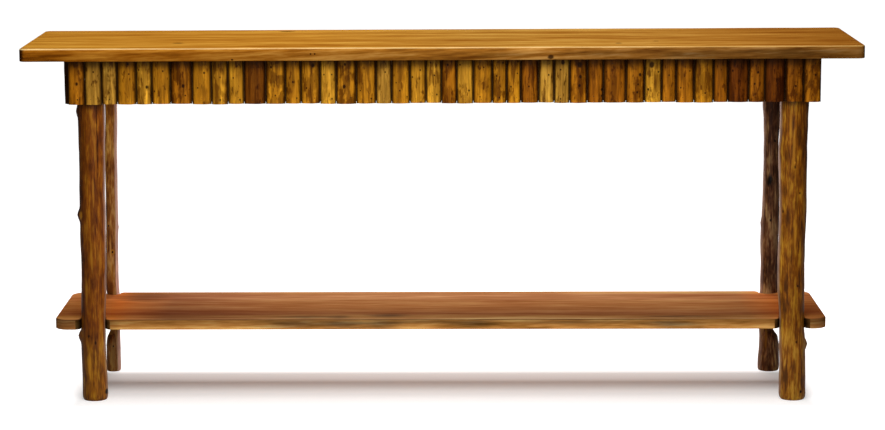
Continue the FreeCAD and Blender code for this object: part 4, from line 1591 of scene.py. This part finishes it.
@dataclass
class ShelfPlank:
    """The lower shelf, notched round the legs, sizes in millimetres."""

    corner_radius: float = 30.0
    edge_round: float = 3.0
    lower_round: float = 1.2
    clearance: float = 0.3
    mouth_share: float = 0.92
    notch_rim: float = 1.2
    notch_reach: float = 830.0
    cutter_depth: float = 60.0
    cutter_height: float = 173.0
    cutter_beyond: float = 30.0

    def build(self, poles: list) -> Object:
        """Shape the shelf from a block and cut its notches.

        Args:
            poles: The legs that the notches fit round.

        Returns:
            The finished shelf.
        """
        low, high = (Vector(corner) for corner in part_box("shelf_board"))
        shelf = solid_block("plank_shelf", low, high)
        for pole in poles:
            self._notch(shelf, pole, high.y)
        edit(shelf, "EDGE")
        choose(shelf, "edges", lambda a, b: is_upright(a, b) and at_corner(a, low, high))
        bpy.ops.mesh.bevel(offset=self.corner_radius * MM, segments=8, affect="EDGES")
        for pole in poles:
            face = 1 if pole.y > 0 else -1
            mouth = self.mouth_share * (high.y - abs(pole.y) * MM)
            half = (pole.seat[1] / 2 + self.clearance) * MM
            walls = (pole.seat[0] * MM - half, pole.seat[0] * MM + half)
            choose(shelf, "edges", lambda a, b: is_upright(a, b) and abs(a.y - face * high.y) < NEAR
                   and min(abs(a.x - wall) for wall in walls) < 2 * NEAR)
            bpy.ops.mesh.bevel(offset=mouth, segments=6, affect="EDGES")
        bpy.ops.object.mode_set(mode="OBJECT")
        close_mesh(shelf)
        for level, radius in ((high.z, self.edge_round), (low.z, self.lower_round)):
            round_rim(shelf, level, radius, 3)
            close_mesh(shelf)
        paint_arris(shelf, high.z, self.edge_round)
        smooth(shelf, 35.0)
        return shelf

    def _notch(self, shelf: Object, pole: Pole, rim: float) -> None:
        """Cut one U-shaped notch with a round bottom.

        Args:
            shelf: The shelf to cut.
            pole: The leg that stands in the notch.
            rim: How far the shelf's long faces are from its middle, in metres.
        """
        deselect()
        radius = (pole.seat[1] / 2 + self.clearance) * MM
        face = 1 if pole.y > 0 else -1
        middle = pole.seat[0] * MM
        centre_y = pole.y * MM
        sides = 48
        bpy.ops.mesh.primitive_cylinder_add(
            vertices=sides, radius=radius, depth=self.cutter_depth * MM,
            location=(middle, centre_y, self.cutter_height * MM))
        cutter = bpy.context.object
        settle(cutter)
        edit(cutter)
        choose(cutter, "vertices", lambda co: face * (co.y - centre_y) > NEAR)
        widen = 1 / math.cos(2 * math.pi / sides)
        bpy.ops.transform.resize(
            value=(widen, 0.0, 1.0), center_override=(middle, face * (rim + self.cutter_beyond * MM), 0.0))
        bpy.ops.object.mode_set(mode="OBJECT")
        pick(shelf)
        cut = shelf.modifiers.new("notch", "BOOLEAN")
        cut.operation = "DIFFERENCE"
        cut.solver = "EXACT"
        cut.object = cutter
        bpy.ops.object.modifier_apply(modifier=cut.name)
        bpy.data.objects.remove(cutter)

    def dress(self, shelf: Object) -> None:
        """Give the shelf its satin finish with a sapwood band and smoky marks.

        Args:
            shelf: The finished shelf.
        """
        finish = PlankFinish(
            "satin_varnished_pine_shelf", "#965830", "#B4784A", "#CC9862", "#86561F", "#BA8040", "#DCB068",
            roughness=0.4, specular=0.0, slant=0.012, arris="#46291A", figure=0.35, edge_spread=0.15,
            flat_bands=(
                ("Y", ((-160, "#B7CBCB"), (-148, "#AABABC"), (-130, "#99A097"), (-112, "#8F8B86"),
                    (-97, "#8D8484"), (-52, "#A49E97"), (-6, "#B8B5AC"), (40, "#C4C4BF"),
                    (87, "#D3D6E1"), (128, "#DAE1ED"), (140, "#E7F9F3"), (159, "#E7F9F3"))),
                # along X: the warmer, more orange stretches beside the legs are a painted reflection of the
                # legs
                ("X", ((-857, "#CBBCA5"), (-800, "#CBBAA0"), (-740, "#D3AC82"), (-700, "#C0A895"),
                    (-620, "#9E9399"), (-480, "#B3AEB3"), (-350, "#BCBCBC"), (560, "#BCBCBC"),
                    (680, "#B7B5B3"), (760, "#CFAC89"), (852, "#BCAA97")))),
            edge_bands=(
                # along X: the front face darkens at both ends beside the legs, a painted shade
                ("X", ((-857, "#8F8995"), (-830, "#898289"), (-790, "#7C767C"), (-740, "#958F89"),
                    (-715, "#B7B3AE"), (-400, "#BCBCBC"), (600, "#BCBCBC"), (715, "#BCBAB7"),
                    (740, "#AAA5A0"), (800, "#898689"), (852, "#89858F"))),
                ("Z", ((161, "#C8C8C8"), (163, "#D6D6D6"), (165, "#DADADA"), (167.5, "#CBCBCB"),
                    (170, "#C0C0C0"), (172, "#B7B7B7"), (174, "#AEAEAE"), (176.5, "#A2A2A2"),
                    (179, "#A2A2A2"), (184, "#A0A0A0")))),
            smoke=tuple(Mark(*mark, 0.5, 2.2) for mark in (
                (-330, 174, 72, 9, 0.75, -159, 22), (-215, 174, 42, 10, 0.75, -159, 22),
                (-130, 174, 42, 9, 0.75, -159, 22), (71, 173, 60, 7, 0.8, -159, 8),
                (507, 172, 60, 8, 0.85, -159, 12), (-319, 184, 52, 8, 0.7, -134, 12),
                (-228, 184, 26, 8, 0.7, -134, 14), (-115, 184, 44, 8, 0.75, -122, 20),
                (520, 184, 76, 8, 0.75, -134, 12), (-700, 184, 56, 8, 0.7, 110, 50),
                (-20, 178, 120, 4, 0.5, -159, 8), (300, 177, 140, 4, 0.5, -159, 8))))
        # the notch walls: dark stain, with painted shade deepening into the notch
        wall = PlankFinish(
            "stained_and_shaded_notch_wall", "#2A1508", "#3A200E", "#4A2C14", "#7A4E1C", "#A87238", "#C49A58",
            specular=0.0, arris="#3A2010", wander=0.0,
            edge_bands=(("Y", (
                (-160, "#7C7C7C"), (-157, "#4D4D4D"), (-153, "#2C2C2C"), (-146, "#191919"),
                (146, "#191919"), (153, "#2C2C2C"), (157, "#4D4D4D"), (160, "#7C7C7C"))),))
        cover_with(shelf, finish.material(), wall.material())
        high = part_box("shelf_board")[1]
        for face in shelf.data.polygons:
            inside = (abs(face.center.y) < high[1] - self.notch_rim * MM
                      and abs(face.center.x) < self.notch_reach * MM)
            face.material_index = 1 if inside and abs(face.normal.z) < 0.6 else 0
        finish_piece(shelf, ("shelf_board",))


# The studio


@dataclass
class Studio:
    """Camera, floor and lights; lengths in millimetres."""

    place: tuple = (16.4, -5980.4, 1392.6)
    yaw: float = 0.02584
    pitch: float = 0.16573
    roll: float = -0.00703
    focal_pixels: float = 2678.0
    axis_pixel: float = 380.6
    picture_width: float = 885.0
    sensor: float = 36.0

    def set_camera(self) -> None:
        """Stand the camera where the photograph was taken from."""
        right = Vector((math.cos(self.yaw), math.sin(self.yaw), 0.0))
        ahead = Vector((
            -math.sin(self.yaw) * math.cos(self.pitch), math.cos(self.yaw) * math.cos(self.pitch),
            -math.sin(self.pitch)))
        above = right.cross(ahead)
        turned_right = math.cos(self.roll) * right + math.sin(self.roll) * above
        turned_up = -math.sin(self.roll) * right + math.cos(self.roll) * above
        camera_data = bpy.data.cameras.new("photograph_view")
        camera_data.sensor_fit = "HORIZONTAL"
        camera_data.sensor_width = self.sensor
        camera_data.lens = self.focal_pixels * self.sensor / self.picture_width
        camera_data.shift_x = (self.picture_width / 2 - self.axis_pixel) / self.picture_width
        camera_data.clip_end = 100.0
        camera = bpy.data.objects.new("photograph_view", camera_data)
        bpy.context.scene.collection.objects.link(camera)
        turn = Matrix((turned_right, turned_up, -ahead)).transposed()
        camera.matrix_world = Matrix.Translation(Vector(self.place) * MM) @ turn.to_4x4()
        bpy.context.scene.camera = camera

    def add_floor(self) -> None:
        """A plain white floor with a painted glow, seen by the camera only, that whitens it to pure white
        away from the table and paints a soft shadow under it.
        """
        deselect()
        bpy.ops.mesh.primitive_plane_add(size=1.0, location=(0.0, 2.0, 0.0))
        floor = bpy.context.object
        floor.scale = (14.0, 14.0, 1.0)
        floor.name = "studio_floor"
        settle(floor)
        material, tree, shader, place = new_material("white_paper_floor")
        parts = add_node(tree, "ShaderNodeSeparateXYZ", {0: place})
        depth = add_node(tree, "ShaderNodeMapRange", {
            "Value": parts.outputs["Y"], "From Min": -0.25, "From Max": 0.25, "To Min": 0.0, "To Max": 1.0})
        # painted light and shadow: the glow along Y is low under the table, painting its soft shadow band,
        # and full beyond it
        glow = set_ramp(add_node(tree, "ShaderNodeValToRGB", {0: depth.outputs[0]}), (
            (0.02, 1.0), (0.07, 0.62), (0.21, 0.48), (0.29, 0.41), (0.37, 0.29), (0.45, 0.13), (0.53, 0.01),
            (0.61, 0.20), (0.71, 0.33), (0.79, 1.0)))
        for shadow_end, white_start in ((0.76, 0.86), (-0.76, -0.86)):
            beside = add_node(tree, "ShaderNodeMapRange", {
                "Value": parts.outputs["X"], "From Min": shadow_end, "From Max": white_start,
                "To Min": 0.0, "To Max": 1.0}, interpolation_type="SMOOTHSTEP").outputs[0]
            glow = add_node(tree, "ShaderNodeMath", {0: glow, 1: beside}, operation="MAXIMUM").outputs[0]
        seen = add_node(tree, "ShaderNodeLightPath", {}).outputs["Is Camera Ray"]
        glow = add_node(tree, "ShaderNodeMath", {0: glow, 1: seen}, operation="MULTIPLY").outputs[0]
        tree.links.new(glow, shader.inputs["Emission Strength"])
        shader.inputs["Emission Color"].default_value = WHITE
        shader.inputs["Base Color"].default_value = (0.65, 0.63, 0.62, 1.0)
        shader.inputs["Roughness"].default_value = 0.9
        shader.inputs["Specular IOR Level"].default_value = 0.1
        floor.data.materials.append(material)

    def add_light(self, name: str, place: tuple, aim: tuple, size: tuple, watts: float, colour: str) -> None:
        """Hang one soft rectangular light.

        Args:
            name: The light's name.
            place: Where it hangs, in metres.
            aim: The point it faces, in metres.
            size: Its width and height, in metres.
            watts: Its power.
            colour: Its colour.
        """
        lamp = bpy.data.lights.new(name, "AREA")
        lamp.shape = "RECTANGLE"
        lamp.size, lamp.size_y = size
        lamp.energy = watts
        lamp.color = linear(colour)[:3]
        light = bpy.data.objects.new(name, lamp)
        bpy.context.scene.collection.objects.link(light)
        light.location = place
        light.rotation_euler = (Vector(aim) - Vector(place)).to_track_quat("-Z", "Y").to_euler()
        light.visible_camera = False

    def light_up(self) -> None:
        """Soft lights overhead, in front and behind, all near the middle, and a white surround."""
        for light in (
                ("overhead", (0.0, -0.35, 2.5), (0.0, -0.1, 0.8), (2.4, 1.2), 22.0, "#FFFFFF"),
                ("high_front", (0.0, -1.6, 2.0), (0.0, 0.0, 0.55), (1.5, 0.8), 24.0, "#FFFFFF"),
                ("low_front", (0.0, -2.0, 0.9), (0.0, 0.0, 0.4), (1.4, 0.8), 12.0, "#FFFFFF"),
                ("high_back", (0.0, 1.9, 1.75), (0.0, 0.0, 0.3), (2.2, 0.9), 30.0, "#FFF2EE"),
                ("backdrop", (0.0, 1.7, 0.5), (0.0, 0.0, 0.5), (1.3, 0.9), 7.0, "#FFE2DC")):
            self.add_light(*light)
        world = bpy.data.worlds.new("white_surround")
        bpy.context.scene.world = world
        world.use_nodes = True
        tree = world.node_tree
        tree.nodes.clear()
        seen = add_node(tree, "ShaderNodeBackground", {"Color": WHITE, "Strength": 1.2})
        way = add_node(tree, "ShaderNodeTexCoord", {}).outputs["Generated"]
        sideways = add_node(tree, "ShaderNodeSeparateXYZ", {0: way}).outputs["X"]
        sideways = add_node(tree, "ShaderNodeMath", {0: sideways}, operation="ABSOLUTE").outputs[0]
        dim = add_node(tree, "ShaderNodeMapRange", {
            "Value": sideways, "From Min": 0.35, "From Max": 0.9, "To Min": 0.14, "To Max": 0.0})
        lit = add_node(tree, "ShaderNodeBackground", {
            "Color": (1.0, 0.99, 0.97, 1.0), "Strength": dim.outputs[0]})
        path = add_node(tree, "ShaderNodeLightPath", {})
        mix = add_node(tree, "ShaderNodeMixShader", {
            0: path.outputs["Is Camera Ray"], 1: lit.outputs[0], 2: seen.outputs[0]})
        add_node(tree, "ShaderNodeOutputWorld", {"Surface": mix.outputs[0]})
        bpy.context.scene.view_settings.view_transform = "Standard"


def dress_frame(nodes: dict) -> None:
    """Give the CAD nodes that stay their own materials.

    Args:
        nodes: Node name to object.
    """
    board = SawnBoardFinish().material()
    steel = SteelFinish().material()
    for name, node in nodes.items():
        if name.startswith("apron_board") or name in ("top_cleats", "shelf_tongues"):
            finish = board
        elif name in ("top_screws", "leg_bolts"):
            finish = steel
        else:
            continue
        cover_with(node, finish)


def main() -> None:
    """Build the table, dress it and set up the studio."""
    studio = Studio()
    studio.set_camera()
    studio.add_floor()
    studio.light_up()
    poles = make_poles()
    for pole in poles:
        pole.dress(pole.build())
    top = TopPlank()
    top.dress(top.build())
    shelf = ShelfPlank()
    shelf.dress(shelf.build(poles))
    logs = HalfLogs().build()
    brads = Brads().build(logs)
    cover_with(brads, SteelFinish("blackened_iron_brad", "#1C1410", 0.6, 0.5).material())
    finish_piece(brads)
    dress_frame(frame["nodes"])


if __name__ == "__main__":
    logging.basicConfig(level=logging.INFO, format="%(message)s")
    main()
